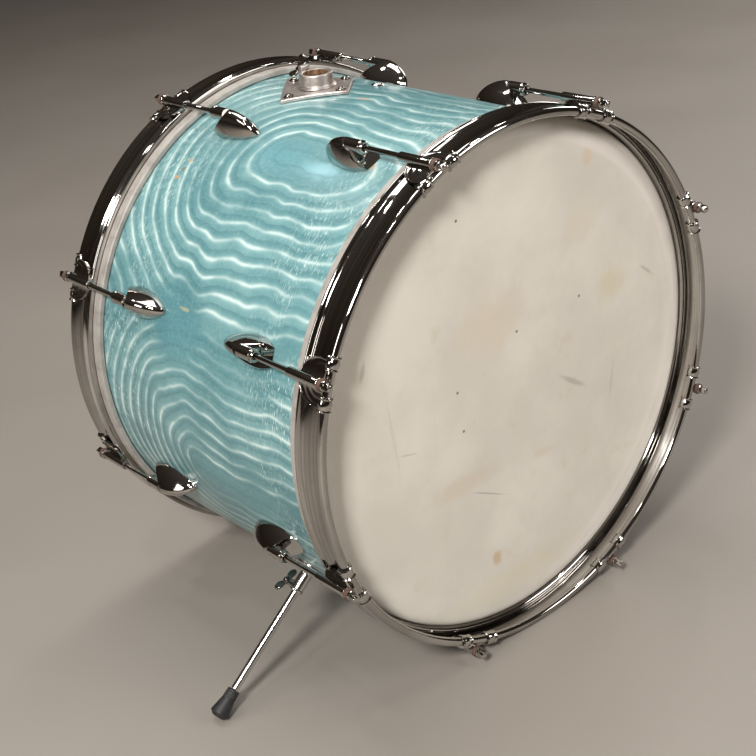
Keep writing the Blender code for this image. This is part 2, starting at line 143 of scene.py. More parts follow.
def smooth(mesh, degrees=32):
    mesh.shade_smooth()
    mesh.set_sharp_from_angle(angle=radians(degrees))
    return mesh


def shift(x=0.0, y=0.0, z=0.0):
    return Matrix.Translation((x, y, z))


def turn(degrees, axis):
    return Matrix.Rotation(radians(degrees), 4, axis)


ALONG_Y = turn(-90, "X")
ALONG_X = turn(90, "Y")


def rounded(*corners):
    """A closed outline from (x, y, radius) corners, each rounded by its radius."""
    outline = []
    for index, (x, y, radius) in enumerate(corners):
        here = Vector((x, y))
        if not radius:
            outline.append((x, y))
            continue
        before = (Vector(corners[index - 1][:2]) - here).normalized()
        after = (Vector(corners[(index + 1) % len(corners)][:2]) - here).normalized()
        half = before.angle(after) / 2
        centre = here + (before + after).normalized() * radius / sin(half)
        start = here + before * radius / tan(half) - centre
        sweep = start.angle_signed(here + after * radius / tan(half) - centre)
        for step in range(CORNER_STEPS + 1):
            angle = atan2(start.y, start.x) - sweep * step / CORNER_STEPS
            outline.append((centre.x + radius * cos(angle), centre.y + radius * sin(angle)))
    return outline


def ring(outer, inner, top, base, *corners):
    """The outline of a ring's section. Its corners' radii start at the outer top and end at the inner top."""
    return rounded(*zip((outer, outer, inner, inner), (top, base, base, top), corners))


def offsets(origin, *steps):
    """Points at steps from an origin, in millimetres."""
    return [(origin[0] + across / 1000, origin[1] + along / 1000) for across, along in steps]


def arc_points(centre, radius, start, end, steps=8):
    """Points on an arc, with angles in degrees from the first axis to the second."""
    turns = [radians(start + (end - start) * step / steps) for step in range(steps + 1)]
    return [(centre[0] + radius * cos(turn), centre[1] + radius * sin(turn)) for turn in turns]


def turned(profile, steps=48, closed=True):
    """A turned solid about Z, from (radius, height) points."""
    shape = bmesh.new()
    verts = [shape.verts.new((radius, 0.0, height)) for radius, height in profile]
    edges = [shape.edges.new(pair) for pair in zip(verts, verts[1:])]
    if closed:
        edges.append(shape.edges.new((verts[-1], verts[0])))
    bmesh.ops.spin(
        shape, geom=verts + edges, cent=(0, 0, 0), axis=(0, 0, 1), angle=2 * pi, steps=steps
    )
    bmesh.ops.remove_doubles(shape, verts=shape.verts, dist=1e-6)
    bmesh.ops.recalc_face_normals(shape, faces=shape.faces)
    return mesh_of(shape)


def lofted(rings, closed):
    """A skin through rings of points. Its first ring is filled, and its last too if the rings are closed."""
    shape = bmesh.new()
    previous = None
    for points in rings:
        ring = [shape.verts.new(point) for point in points]
        if previous:
            for index in range(len(ring) - (not closed)):
                after = (index + 1) % len(ring)
                shape.faces.new((previous[index], previous[after], ring[after], ring[index]))
        else:
            shape.faces.new(ring)
        previous = ring
    if closed:
        shape.faces.new(previous)
    bmesh.ops.remove_doubles(shape, verts=shape.verts, dist=2e-6)
    bmesh.ops.recalc_face_normals(shape, faces=shape.faces)
    return mesh_of(shape)


def added(name, data):
    """A new object in the scene."""
    made = bpy.data.objects.new(name, data)
    bpy.context.scene.collection.objects.link(made)
    return made


def evaluated(data_block, modify=None):
    """The mesh of a temporary object that shows this data, with its modifiers applied."""
    holder = added("holder", data_block)
    if modify:
        modify(holder)
    bpy.context.view_layer.update()
    graph = bpy.context.evaluated_depsgraph_get()
    mesh = bpy.data.meshes.new_from_object(holder.evaluated_get(graph))
    bpy.data.objects.remove(holder)
    return mesh


def plate(outline, low, high, edge=0.0005):
    """An outline in the XY plane made solid from low to high, with rounded edges."""
    curve = bpy.data.curves.new("outline", "CURVE")
    curve.dimensions = "2D"
    curve.fill_mode = "BOTH"
    curve.extrude = (high - low) / 2 - edge
    curve.bevel_depth = edge
    curve.bevel_resolution = 2
    curve.offset = -edge
    spline = curve.splines.new("POLY")
    spline.points.add(len(outline) - 1)
    for point, (x, y) in zip(spline.points, outline):
        point.co = (x, y, 0.0, 1.0)
    spline.use_cyclic_u = True
    return moved(evaluated(curve), shift(z=(low + high) / 2))


def cut_out(holder, mesh):
    """Cuts a mesh out of a temporary object. The cutter that it returns is removed afterwards."""
    cutter = added("cutter", mesh)
    step = holder.modifiers.new("cut", "BOOLEAN")
    step.object = cutter
    step.operation = "DIFFERENCE"
    return cutter


def bevelled(mesh, width, segments=3, limit=30):
    """The same mesh with its sharp edges rounded."""

    def modify(holder):
        bevel = holder.modifiers.new("bevel", "BEVEL")
        bevel.width = width
        bevel.segments = segments
        bevel.limit_method = "ANGLE"
        bevel.angle_limit = radians(limit)

    return evaluated(mesh, modify)


def block(low, high, edge=0.0004):
    """A block between two corners, with rounded edges."""
    low, high = Vector(low), Vector(high)
    shape = bmesh.new()
    bmesh.ops.create_cube(shape, size=1.0)
    bmesh.ops.scale(shape, vec=high - low, verts=shape.verts)
    bmesh.ops.translate(shape, vec=(low + high) / 2, verts=shape.verts)
    return bevelled(mesh_of(shape), edge)


# ---- places


def end_matrix(outward):
    """Turns a ring made about Z so that its +Z points out of one end: -1 is the front, 1 the back."""
    return Matrix.Translation(DRUM_CENTRE) @ turn(-90 * outward, "X")


def radial_matrix(angle, radius, along):
    """A place on the drum's side: its Z points out of the shell and its Y points to the back."""
    out = Vector((sin(angle), 0.0, cos(angle)))
    back = Vector((0.0, 1.0, 0.0))
    place = DRUM_CENTRE + out * radius + back * along
    axes = Matrix((back.cross(out), back, out)).transposed().to_4x4()
    return Matrix.Translation(place) @ axes


def station_matrix(joint, outward, radius, distance):
    """The place of one tension rod's station, with its Y pointing out of that end of the drum."""
    angle = polar(joint["pos_m"])[0]
    matrix = radial_matrix(angle, radius, outward * distance)
    return matrix if outward > 0 else matrix @ turn(180, "Z")


# Every material made here, by its name. Blender's own list can hold others of the same name.
LOOKS = {}


def piece(name, mesh, matrix, look, slot, body, *nodes):
    """A named piece, made of the material named look, that rides on a body and stands for these CAD nodes."""
    made = added(name, mesh)
    made.matrix_world = matrix
    if not mesh.materials:
        mesh.materials.append(LOOKS[look])
    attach(made, body)
    if nodes:
        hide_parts(*nodes)
    return made


# ---- material tools


class Value:
    """What a node gives. Sums, differences, products and quotients of values are nodes too."""

    def __init__(self, paint, socket):
        self.paint = paint
        self.socket = socket

    def __add__(self, other):
        return self.paint.math("ADD", self, other)

    def __sub__(self, other):
        return self.paint.math("SUBTRACT", self, other)

    def __mul__(self, other):
        return self.paint.math("MULTIPLY", self, other)

    def __truediv__(self, other):
        return self.paint.math("DIVIDE", self, other)


class Paint:
    """The nodes of one material, added one at a time. finish returns the material."""

    def __init__(self, name, metallic=0.0, coat=0.0, coat_roughness=0.05):
        self.material = LOOKS[name] = bpy.data.materials.new(name)
        self.material.use_nodes = True
        self.tree = self.material.node_tree
        self.shader = self.tree.nodes["Principled BSDF"]
        self.shader.inputs["Metallic"].default_value = metallic
        self.shader.inputs["Coat Weight"].default_value = coat
        self.shader.inputs["Coat Roughness"].default_value = coat_roughness
        self.place = self.node("TexCoord", "Object")

    def feed(self, socket, value):
        """Links a value to a socket, or sets a plain number, vector or colour on it."""
        if isinstance(value, Value):
            self.tree.links.new(value.socket, socket)
        elif socket.type == "RGBA":
            socket.default_value = (*value, 1.0)
        else:
            socket.default_value = value

    def node(self, kind, output, **inputs):
        made = self.tree.nodes.new("ShaderNode" + kind)
        for name, value in inputs.items():
            self.feed(made.inputs[name], value)
        return Value(self, made.outputs[output])

    def math(self, operation, *values):
        made = self.tree.nodes.new("ShaderNodeMath")
        made.operation = operation
        for socket, value in zip(made.inputs, values):
            self.feed(socket, value)
        return Value(self, made.outputs[0])

    def length(self, first, second):
        return self.math("SQRT", first * first + second * second)

    def axes(self):
        """The X, Y and Z of the shaded point."""
        made = self.tree.nodes.new("ShaderNodeSeparateXYZ")
        self.feed(made.inputs[0], self.place)
        return [Value(self, output) for output in made.outputs]

    def noise(self, scale, detail=3.0, rough=0.5, place=None):
        """Noise at one scale, or stretched by a scale for each axis."""
        place = place or self.place
        if isinstance(scale, tuple):
            place = self.node("Mapping", "Vector", Vector=place, Scale=scale)
            scale = 1.0
        return self.node("TexNoise", "Fac", Vector=place, Scale=scale, Detail=detail, Roughness=rough)

    def round_noise(self, x, z, reach, detail, rough, **first):
        """Noise that repeats round the drum's axis, stretched along it or out from it by its first axis."""
        angle = self.math("ARCTAN2", x, z)
        sine, cosine = self.math("SINE", angle) * reach, self.math("COSINE", angle) * reach
        return self.noise(1.0, detail, rough, self.node("CombineXYZ", "Vector", Y=sine, Z=cosine, **first))

    def between(self, value, low, high, to_low=0.0, to_high=1.0):
        """The value carried from one range to another, eased and held at its ends."""
        made = self.tree.nodes.new("ShaderNodeMapRange")
        made.interpolation_type = "SMOOTHSTEP"
        for socket, item in zip(made.inputs, (value, low, high, to_low, to_high)):
            self.feed(socket, item)
        return Value(self, made.outputs[0])

    def mix(self, first, second, factor, *ranges):
        """The first colour where the factor is 0, the second where it is 1. Ranges, if given, ease it."""
        factor = self.between(factor, *ranges) if ranges else factor
        made = self.tree.nodes.new("ShaderNodeMix")
        made.data_type = "RGBA"
        colours = [socket for socket in made.inputs if socket.type == "RGBA"]
        for socket, value in zip((made.inputs[0], *colours), (factor, first, second)):
            self.feed(socket, value)
        return Value(self, made.outputs[2])

    def bump(self, height, depth, **normal):
        return self.node("Bump", "Normal", Height=height, Distance=depth, **normal)

    def finish(self, colour, roughness, normal=None):
        self.feed(self.shader.inputs["Base Color"], colour)
        self.feed(self.shader.inputs["Roughness"], roughness)
        if normal:
            self.feed(self.shader.inputs["Normal"], normal)
        return self.material


# ---- materials

PLATE = (0.52, 0.50, 0.475)
PLATE_HAZE = (0.22, 0.18, 0.145)
PLATE_PIT = (0.10, 0.07, 0.05)
PLATE_RELIEF = 0.000005


def chrome(name, colour=PLATE, haze_and_reflection_colour=PLATE_HAZE, wear=0.25, scale=1.0, gloss=(0.035, 0.11), rings=0.0):
    """Old chrome plate: bright, with a brown haze, fine pits, wiping marks, and darker streaks round Y that
    are partly rolling marks and partly painted dark reflection.
    """
    paint = Paint(name, metallic=1.0)
    haze = paint.noise(38 * scale, 5.0, 0.62)
    pits = paint.between(paint.noise(900 * scale, 2.0), 0.66, 0.74)
    pitted = pits * paint.between(paint.noise(55 * scale, 2.0), 0.48, 0.66)
    hazed = paint.mix(colour, haze_and_reflection_colour, haze, 0.45, 0.78, 0.0, wear)
    if rings:
        # Darker streaks round Y in the haze colour: partly rolling marks, partly painted dark reflection of
        # the room.
        x, along, z = paint.axes()
        streaks = paint.round_noise(x, z, 1.6, 3.0, 0.6, X=along * 420.0)
        hazed = paint.mix(hazed, haze_and_reflection_colour, streaks, 0.36, 0.66, 0.0, rings)
    tinted = paint.mix(hazed, PLATE_PIT, pitted * 0.7)
    shine = paint.between(haze, 0.35, 0.8, *gloss) + pitted * 0.35
    wipes = paint.noise((40, 900, 40), 2.0)
    return paint.finish(tinted, shine, paint.bump(wipes + pitted * -2.0, PLATE_RELIEF))


# The wrap's pale lines are contours round these hearts: (angle from the top towards -X in degrees,
# distances along the drum where its back and front arches begin, number of lines it is raised by,
# distance between its back arches in line pitches).
HEARTS = (
    (25.8, -0.002, -0.078, 0.5, 1.35),
    (103.5, 0.019, -0.300, 1.0, 1.0),
    (-44.0, -0.020, -0.300, 0.9, 1.2),
    (-118.0, 0.030, -0.100, 2.4, 1.1),
    (172.0, -0.010, -0.300, 1.5, 1.0),
)
# Each line has a bright core, and a glow that falls off fast on one side and slowly on the other. Boxy is
# the power of the arches' rounded corners, and join is how softly two hearts' lines meet.
LINE_PITCH = 0.0124
LINE_SPREAD = 1.33
LINE_BOXY = 2.2
LINE_JOIN = 1.6
LINE_CORE = 0.0013
LINE_GLOW = 0.0046
LINE_EDGE = 0.0019
# How far the lines are bent round the shell by ripples and by sways, and along it by sways.
RIPPLE = 0.020
SWAY_ROUND = 0.034
SWAY_ALONG = 0.030
# A place between two hearts, (angle, distance along), where the lines fade out within this distance.
SADDLE = (70.0, 0.030)
SADDLE_REACH = 0.050

TEAL_DEEP = (0.072, 0.196, 0.216)
TEAL_PALE = (0.126, 0.275, 0.292)
TEAL_SHADE = (0.050, 0.150, 0.170)
LINE_GLOW_COLOUR = (0.29, 0.49, 0.485)
LINE_CORE_COLOUR = (0.60, 0.72, 0.69)
FIBRE_COLOUR = (0.30, 0.46, 0.46)
# The pale colour of the painted glints on hairline scratching.
SCRATCH_GLINT_COLOUR = (0.58, 0.70, 0.66)

# Soft paler and darker patches in the wrap, the first a painted glare highlight: (angle in degrees,
# distance along, half width, half length, colour, strength).
WRAP_PATCHES_AND_GLARE = (
    (27.5, -0.062, 0.014, 0.040, (0.30, 0.55, 0.61), 0.80),
    (27.0, 0.000, 0.026, 0.050, (0.10, 0.29, 0.34), 0.75),
    (70.0, 0.030, 0.040, 0.050, (0.075, 0.23, 0.27), 0.70),
    (103.0, -0.020, 0.030, 0.060, (0.10, 0.27, 0.30), 0.55),
    (14.0, 0.100, 0.070, 0.050, (0.27, 0.42, 0.41), 0.40),
    (-44.0, -0.050, 0.040, 0.070, (0.11, 0.30, 0.34), 0.55),
    (-118.0, 0.000, 0.050, 0.060, (0.11, 0.28, 0.30), 0.40),
)

# Marks on the wrap: (angle in degrees, distance along, half width, half length, colour).
WRAP_MARKS = (
    (0.6, 0.002, 0.0050, 0.0095, (0.50, 0.37, 0.24)),
    (33.6, 0.113, 0.0034, 0.0042, (0.52, 0.32, 0.16)),
    (36.2, 0.114, 0.0036, 0.0034, (0.20, 0.14, 0.08)),
    (38.4, 0.115, 0.0030, 0.0046, (0.50, 0.30, 0.14)),
    (65.3, 0.024, 0.0022, 0.0110, (0.36, 0.36, 0.24)),
    (23.5, -0.113, 0.0060, 0.0090, (0.42, 0.31, 0.18)),
)


def shell_distance(paint, round_shell, degrees):
    """The distance round the shell from an angle, by the shorter way."""
    half_round = pi * SHELL_RADIUS
    return paint.math("WRAP", round_shell - radians(degrees) * SHELL_RADIUS, half_round, -half_round)


def wrap_reach(paint, round_shell, along, centre, half_width, half_length):
    """How far a point of the unrolled wrap is from a mark's centre, in half widths."""
    across = shell_distance(paint, round_shell, centre[0]) * (1 / half_width)
    return paint.length(across, (along - centre[1]) * (1 / half_length))


def contour_height(paint, round_shell, along):
    """How many lines away from the nearest heart a point of the unrolled wrap is."""
    height = None
    for degrees, back_arch, front_arch, raised, back_spread in HEARTS:
        across = shell_distance(paint, round_shell, degrees) * (1 / LINE_SPREAD)
        above = paint.math("MAXIMUM", along - back_arch, 0.0) * (1 / back_spread)
        below = paint.math("MAXIMUM", paint.math("SUBTRACT", front_arch, along), 0.0)
        across, beyond = [
            paint.math("POWER", paint.math("ABSOLUTE", value), LINE_BOXY)
            for value in (across, below * 0.5 + above)
        ]
        reach = paint.math("POWER", across + beyond, 1 / LINE_BOXY)
        lines = reach * (1 / LINE_PITCH) + raised
        height = lines if height is None else paint.math("SMOOTH_MIN", height, lines, LINE_JOIN)
    return height


def line_field(paint, round_shell, along):
    """The contour height of each point, bent by slow sways, ripples and a little grain."""
    ripple = paint.noise((9, 25, 9), 1.0, 0.4) - 0.5
    sway = paint.noise((5, 9, 5), 1.0) - 0.5
    grain = paint.noise((45, 90, 45), 0.0)
    bent = sway * SWAY_ROUND + (ripple * RIPPLE + round_shell)
    return grain * 0.07 + contour_height(paint, bent, sway * SWAY_ALONG + along)


def wrap_material():
    """Aqua satin-flame drum wrap: teal, with glowing wavy contour lines, a painted glare highlight, hairline
    scratching painted as pale glints, and chips.
    """
    paint = Paint("aqua_wrap", coat=0.25, coat_roughness=0.18)
    x, along, z = paint.axes()
    round_shell = paint.math("ARCTAN2", x * -1.0, z) * SHELL_RADIUS

    lines = line_field(paint, round_shell, along)
    off = (paint.math("FRACT", lines) - 0.5) * LINE_PITCH
    fade = paint.between(off, -0.0004, 0.0004, LINE_EDGE, LINE_GLOW)
    glow = paint.math("EXPONENT", paint.math("ABSOLUTE", off) / fade * -1.0)
    core = paint.math("EXPONENT", off * off * (-1 / LINE_CORE**2))
    shade = paint.between(off, -0.0055, -0.0018, 1.0, 0.0)

    saddle = wrap_reach(paint, round_shell, along, SADDLE, SADDLE_REACH, SADDLE_REACH)
    patches = paint.noise((17, 8, 17), 3.0, 0.55)
    streaks = paint.noise((60, 26, 60), 2.0)
    strength = paint.between(patches, 0.34, 0.60, 0.16, 1.0) * paint.between(streaks, 0.34, 0.62, 0.38, 1.0)
    strength = strength * (paint.between(saddle, 0.5, 1.2) * paint.between(lines, 1.6, 2.3))

    cloud = paint.noise(8.0, 4.0, 0.6)
    colour = paint.mix(TEAL_DEEP, TEAL_PALE, cloud, 0.32, 0.7)
    # Paler and darker patches; the first is a painted glare highlight.
    for degrees, distance, half_width, half_length, tint, weight in WRAP_PATCHES_AND_GLARE:
        reach = wrap_reach(paint, round_shell, along, (degrees, distance), half_width, half_length)
        colour = paint.mix(colour, tint, streaks * 1.2 + reach, 0.5, 1.8, weight, 0.0)
    colour = paint.mix(colour, TEAL_SHADE, shade * 0.30)
    colour = paint.mix(colour, LINE_GLOW_COLOUR, glow * strength * 0.85)
    colour = paint.mix(colour, LINE_CORE_COLOUR, core * strength * 0.95)
    fibre = paint.noise((500, 160, 500), 2.0)
    colour = paint.mix(colour, FIBRE_COLOUR, fibre, 0.40, 0.75, 0.0, 0.16)
    # Real hairline scratching, painted as the pale glints it catches.
    colour = paint.mix(colour, SCRATCH_GLINT_COLOUR, scratch_glints(paint, along) * 0.85)
    ragged = paint.noise(200.0, 4.0, 0.65) * 2.0
    for degrees, distance, half_width, half_length, tint in WRAP_MARKS:
        reach = wrap_reach(paint, round_shell, along, (degrees, distance), half_width, half_length)
        colour = paint.mix(colour, tint, ragged + reach, 1.35, 2.0, 0.85, 0.0)
    roughness = paint.between(cloud, 0.3, 0.7, 0.30, 0.42)
    return paint.finish(colour, roughness, paint.bump(paint.noise(22.0, 2.0), 0.0004))


def scratch_glints(paint, along):
    """Hairline scratching painted as pale glints, thickest near both ends of the shell."""
    hairs = paint.noise((170, 1100, 170), 1.0)
    patches = paint.noise(26.0, 2.0)
    near_end = paint.between(paint.math("ABSOLUTE", along), 0.050, 0.130, 0.15, 1.0)
    return paint.between(hairs, 0.60, 0.67) * paint.between(patches, 0.36, 0.54) * near_end


# Stains on the front head: (across, up, half width, half height, colour, strength).
HEAD_STAINS = (
    (0.142, 0.052, 0.024, 0.019, (0.63, 0.54, 0.36), 0.50),
    (0.112, 0.193, 0.008, 0.010, (0.66, 0.50, 0.34), 0.55),
    (-0.043, -0.182, 0.007, 0.009, (0.55, 0.40, 0.24), 0.75),
    (-0.030, 0.070, 0.050, 0.034, (0.66, 0.57, 0.44), 0.55),
    (-0.080, -0.080, 0.045, 0.012, (0.62, 0.53, 0.41), 0.55),
    (0.030, -0.092, 0.016, 0.006, (0.62, 0.51, 0.38), 0.45),
    (0.100, 0.130, 0.030, 0.022, (0.66, 0.59, 0.46), 0.45),
    (-0.020, -0.215, 0.110, 0.018, (0.66, 0.60, 0.44), 0.45),
    (-0.180, 0.060, 0.020, 0.040, (0.64, 0.60, 0.50), 0.45),
)

# Scuffs on the front head: (across, up, half length, half width, tilt in degrees, strength).
HEAD_SCUFFS = (
    (0.078, -0.032, 0.024, 0.0036, -35.0, 0.50),
    (0.137, -0.055, 0.022, 0.0018, 80.0, 0.28),
    (-0.048, -0.104, 0.030, 0.0009, -27.0, 0.60),
    (-0.160, 0.005, 0.050, 0.0020, -85.0, 0.16),
    (-0.187, 0.082, 0.010, 0.0028, 70.0, 0.50),
    (-0.145, -0.018, 0.014, 0.0010, -15.0, 0.40),
    (0.196, 0.048, 0.014, 0.0020, -40.0, 0.45),
)

# Dark specks on the front head: (across, up).
HEAD_SPECKS = ((-0.078, 0.018), (-0.074, -0.024), (0.093, 0.055), (-0.063, 0.182), (0.004, 0.050))
SPECK_RADIUS = 0.0016

FILM_DEEP = (0.650, 0.608, 0.535)
FILM_PALE = (0.730, 0.688, 0.610)
FILM_GRIME = (0.59, 0.51, 0.39)
FILM_DUST = (0.30, 0.24, 0.17)
# The pale colour of the painted highlight on the film's stretched rim.
FILM_RIM_HIGHLIGHT = (0.86, 0.79, 0.74)
SCUFF_COLOUR = (0.33, 0.31, 0.26)
SPECK_COLOUR = (0.10, 0.08, 0.06)


def ellipse(paint, x, z, half_width, half_height, degrees=0.0):
    """How far a point is from an ellipse's middle, in half widths, from its offsets x and z."""
    cosine, sine = cos(radians(degrees)), sin(radians(degrees))
    along = x * (cosine / half_width) + z * (sine / half_width)
    side = z * (cosine / half_height) + x * (-sine / half_height)
    return paint.length(along, side)


def marked_film(paint, colour, x, z):
    """The front head's stains, scuffs and specks over its colour."""
    ragged = paint.noise(70.0, 4.0, 0.65) * 1.1 - 0.55
    for across, up, half_width, half_height, tint, strength in HEAD_STAINS:
        reach = ellipse(paint, x - across, z - up, half_width, half_height)
        colour = paint.mix(colour, tint, reach + ragged, 0.35, 1.25, strength, 0.0)
    for across, up, half_length, half_width, tilt, strength in HEAD_SCUFFS:
        reach = ellipse(paint, x - across, z - up, half_length, half_width, tilt)
        colour = paint.mix(colour, SCUFF_COLOUR, reach + ragged, 0.4, 1.2, strength, 0.0)
    for across, up in HEAD_SPECKS:
        reach = ellipse(paint, x - across, z - up, SPECK_RADIUS, SPECK_RADIUS)
        colour = paint.mix(colour, SPECK_COLOUR, reach, 0.6, 1.2, 0.85, 0.0)
    return colour


def film_material(end):
    """Cream drum film, clouded, with a painted highlight on its stretched rim, mostly on the +X side, and
    stained at the front.
    """
    paint = Paint("head_film_" + end)
    x, _, z = paint.axes()
    radius = paint.length(x, z)
    cloud = paint.noise(9.0, 6.0, 0.62)
    grime = paint.noise(30.0, 6.0, 0.7)
    dust = paint.noise(420.0, 2.0)
    colour = paint.mix(FILM_DEEP, FILM_PALE, cloud, 0.35, 0.68)
    colour = paint.mix(colour, FILM_GRIME, grime, 0.56, 0.78, 0.0, 0.55)
    colour = paint.mix(colour, FILM_DUST, dust, 0.72, 0.80, 0.0, 0.35)
    if end == "front":
        colour = marked_film(paint, colour, x, z)
    # Painted highlight: pale streaks along the film's folds near its rim, mostly on the +X side.
    fold_highlights = paint.between(paint.round_noise(x, z, 1.0, 2.0, 0.5, X=radius * 110.0), 0.40, 0.62, 0.25, 1.0)
    rim = paint.between(radius, SHELL_RADIUS - 0.036, SHELL_RADIUS - 0.010)
    rim = rim * paint.between(x, -0.060, 0.140, 0.10, 1.0)
    colour = paint.mix(colour, FILM_RIM_HIGHLIGHT, rim * fold_highlights * 0.75)
    pebbles = paint.bump(paint.noise(700.0, 2.0), 0.00006)
    waves = paint.bump(paint.noise(6.0, 2.0), 0.004, Normal=pebbles)
    return paint.finish(colour, paint.between(grime, 0.3, 0.8, 0.40, 0.60), waves)


def flesh_material():
    """Dull pinkish aluminium of a flesh hoop."""
    paint = Paint("flesh_hoop_metal", metallic=0.25)
    spots = paint.noise(60.0, 5.0, 0.6)
    grain = paint.noise((60, 60, 1500), 2.0)
    colour = paint.mix((0.42, 0.39, 0.36), (0.29, 0.26, 0.23), spots, 0.4, 0.75)
    return paint.finish(colour, paint.between(grain, 0.3, 0.7, 0.42, 0.58), paint.bump(grain, 0.00002))


def cast_material():
    """Satin cast metal with a sandy skin and brown grime in its hollows."""
    paint = Paint("satin_cast", metallic=0.9)
    grain = paint.noise(700.0, 3.0, 0.6)
    grime = paint.noise(75.0, 5.0, 0.65)
    colour = paint.mix((0.58, 0.53, 0.50), (0.27, 0.20, 0.15), grime, 0.42, 0.75)
    colour = paint.mix(colour, (0.16, 0.11, 0.08), grain, 0.6, 0.8, 0.0, 0.5)
    return paint.finish(colour, paint.between(grime, 0.3, 0.8, 0.32, 0.55), paint.bump(grain, 0.00009))


def rust_material():
    """Brown rust with paler scale."""
    paint = Paint("rusty_bore", metallic=0.3)
    scale = paint.noise(260.0, 5.0, 0.7)
    colour = paint.mix((0.07, 0.035, 0.02), (0.34, 0.20, 0.10), scale, 0.38, 0.7)
    return paint.finish(colour, paint.between(scale, 0.3, 0.7, 0.65, 0.9), paint.bump(scale, 0.0004))


def rubber_material():
    """Black rubber, greyed and dusty."""
    paint = Paint("black_rubber")
    scuffs = paint.noise(120.0, 5.0, 0.65)
    dust = paint.noise(900.0, 2.0)
    colour = paint.mix((0.012, 0.012, 0.013), (0.065, 0.060, 0.055), scuffs, 0.5, 0.8)
    colour = paint.mix(colour, (0.16, 0.15, 0.13), dust, 0.68, 0.8, 0.0, 0.5)
    return paint.finish(colour, paint.between(scuffs, 0.3, 0.8, 0.42, 0.7), paint.bump(scuffs, 0.00015))


def fibre_material():
    """Red-brown vulcanised fibre."""
    paint = Paint("red_fibre")
    weave = paint.noise((500, 1500, 500), 4.0, 0.6)
    colour = paint.mix((0.060, 0.034, 0.025), (0.145, 0.080, 0.055), weave, 0.35, 0.7)
    return paint.finish(colour, paint.between(weave, 0.3, 0.7, 0.55, 0.8), paint.bump(weave, 0.0001))


def floor_material():
    """A plain pale floor with the faintest mottling."""
    paint = Paint("pale_floor")
    mottle = paint.noise(3.0, 4.0)
    colour = paint.mix((0.250, 0.223, 0.196), (0.275, 0.247, 0.219), mottle)
    return paint.finish(colour, paint.between(mottle, 0.3, 0.7, 0.55, 0.7))


# ---- pieces


def make_shell():
    """The wrapped shell, with bevelled bearing edges and holes for the socket, vent and spurs."""
    crown = SHELL_RADIUS - EDGE_BEVEL
    inside = SHELL_RADIUS - SHELL_WALL
    profile = rounded(
        (crown, SHELL_HALF, 0.0006), (SHELL_RADIUS, SHELL_HALF - EDGE_BEVEL, 0.0008),
        (SHELL_RADIUS, -SHELL_HALF + EDGE_BEVEL, 0.0008), (crown, -SHELL_HALF, 0.0006),
        (inside, -SHELL_HALF + EDGE_BEVEL + 0.0001, 0), (inside, SHELL_HALF - EDGE_BEVEL - 0.0001, 0),
    )
    vent = (VENT_LOW + VENT_HIGH) / 2
    holes = [
        (radial_matrix(0.0, SHELL_RADIUS, MOUNT_PLACE), SOCKET_HOLE),
        (radial_matrix(polar(vent)[0], SHELL_RADIUS, vent.y), VENT_HOLE),
        (spur_place("left")[0], LEG_HOLE), (spur_place("right")[0], LEG_HOLE),
    ]
    to_ring = end_matrix(-1).inverted()

    def cut(holder):
        for matrix, radius in holes:
            shape = bmesh.new()
            place = to_ring @ matrix @ Matrix.Diagonal((radius, radius, HOLE_DEPTH, 1))
            bmesh.ops.create_cone(
                shape, cap_ends=True, segments=40, radius1=1, radius2=1, depth=2, matrix=place
            )
            cutters.append(cut_out(holder, mesh_of(shape)))

    cutters = []
    mesh = evaluated(turned(profile, ROUND), cut)
    for cutter in cutters:
        bpy.data.objects.remove(cutter)
    mesh.transform(turn(90, "X"))
    place = Matrix.Translation(DRUM_CENTRE)
    piece("shell_wrap", smooth(mesh), place, "aqua_wrap", "aqua_wrap", "drum", "shell")


def film_mesh():
    """The film: flat, easing down over the bearing edge into its collar."""
    inside = SHELL_RADIUS + 0.0010
    profile = [(ring, FILM_FACE) for ring in (0.0, 0.04, 0.08, 0.12, 0.16, 0.19, 0.215, 0.232, 0.240)]
    profile += offsets((0.0, FILM_FACE), (244.5, -0.1), (247.5, -0.4), (249.5, -1.0), (251.2, -2.2))
    profile += [(inside, FILM_FACE - 0.0040), (inside + 0.0003, FLESH_BASE + 0.0108)]
    return smooth(turned(profile, ROUND, closed=False), 60)


def flesh_mesh():
    """The metal channel that grips the film's edge."""
    inner = SHELL_RADIUS + 0.0008
    top = FLESH_BASE + 0.0118
    section = ring(FLESH_RADIUS, inner, top, FLESH_BASE, 0.0010, 0.0012, 0.0008, 0.0006)
    return smooth(turned(section, ROUND))


def hoop_mesh():
    """The rolled steel hoop: a rolled rim, a shallow web, and a groove whose inside bears on the head."""
    outer, inner = (HOOP_RADIUS, HOOP_END), (HOOP_RADIUS, HOOP_BASE)
    roll = (HOOP_RADIUS - HOOP_ROLL, HOOP_END - HOOP_ROLL)
    groove, lip = offsets(inner, (-5.8, 7.9), (-1.7, 1.6))
    profile = arc_points(roll, HOOP_ROLL, -8, 205, 16)
    profile += arc_points(roll, HOOP_ROLL - HOOP_SHEET, 205, 0, 12)
    profile += offsets(outer, (-1.9, -8.0)) + offsets(inner, (-2.1, 13.0))
    profile += arc_points(groove, 0.0040, 30, 180, 12)
    profile += offsets(inner, (-9.8, 0.7), (-9.2, 0.0))
    profile += arc_points(lip, 0.0016, -90, 70, 7)
    profile += offsets(inner, (-3.0, 3.8), (-3.6, 5.0), (-3.7, 7.2), (-3.1, 8.6), (-1.1, 9.6), (-0.4, 10.4))
    profile += offsets(inner, (-0.7, 11.6), (-1.1, 15.0), (-1.2, 20.0))
    profile += offsets(outer, (-0.9, -11.0), (-0.3, -7.0))
    return smooth(turned(profile, ROUND), 50)


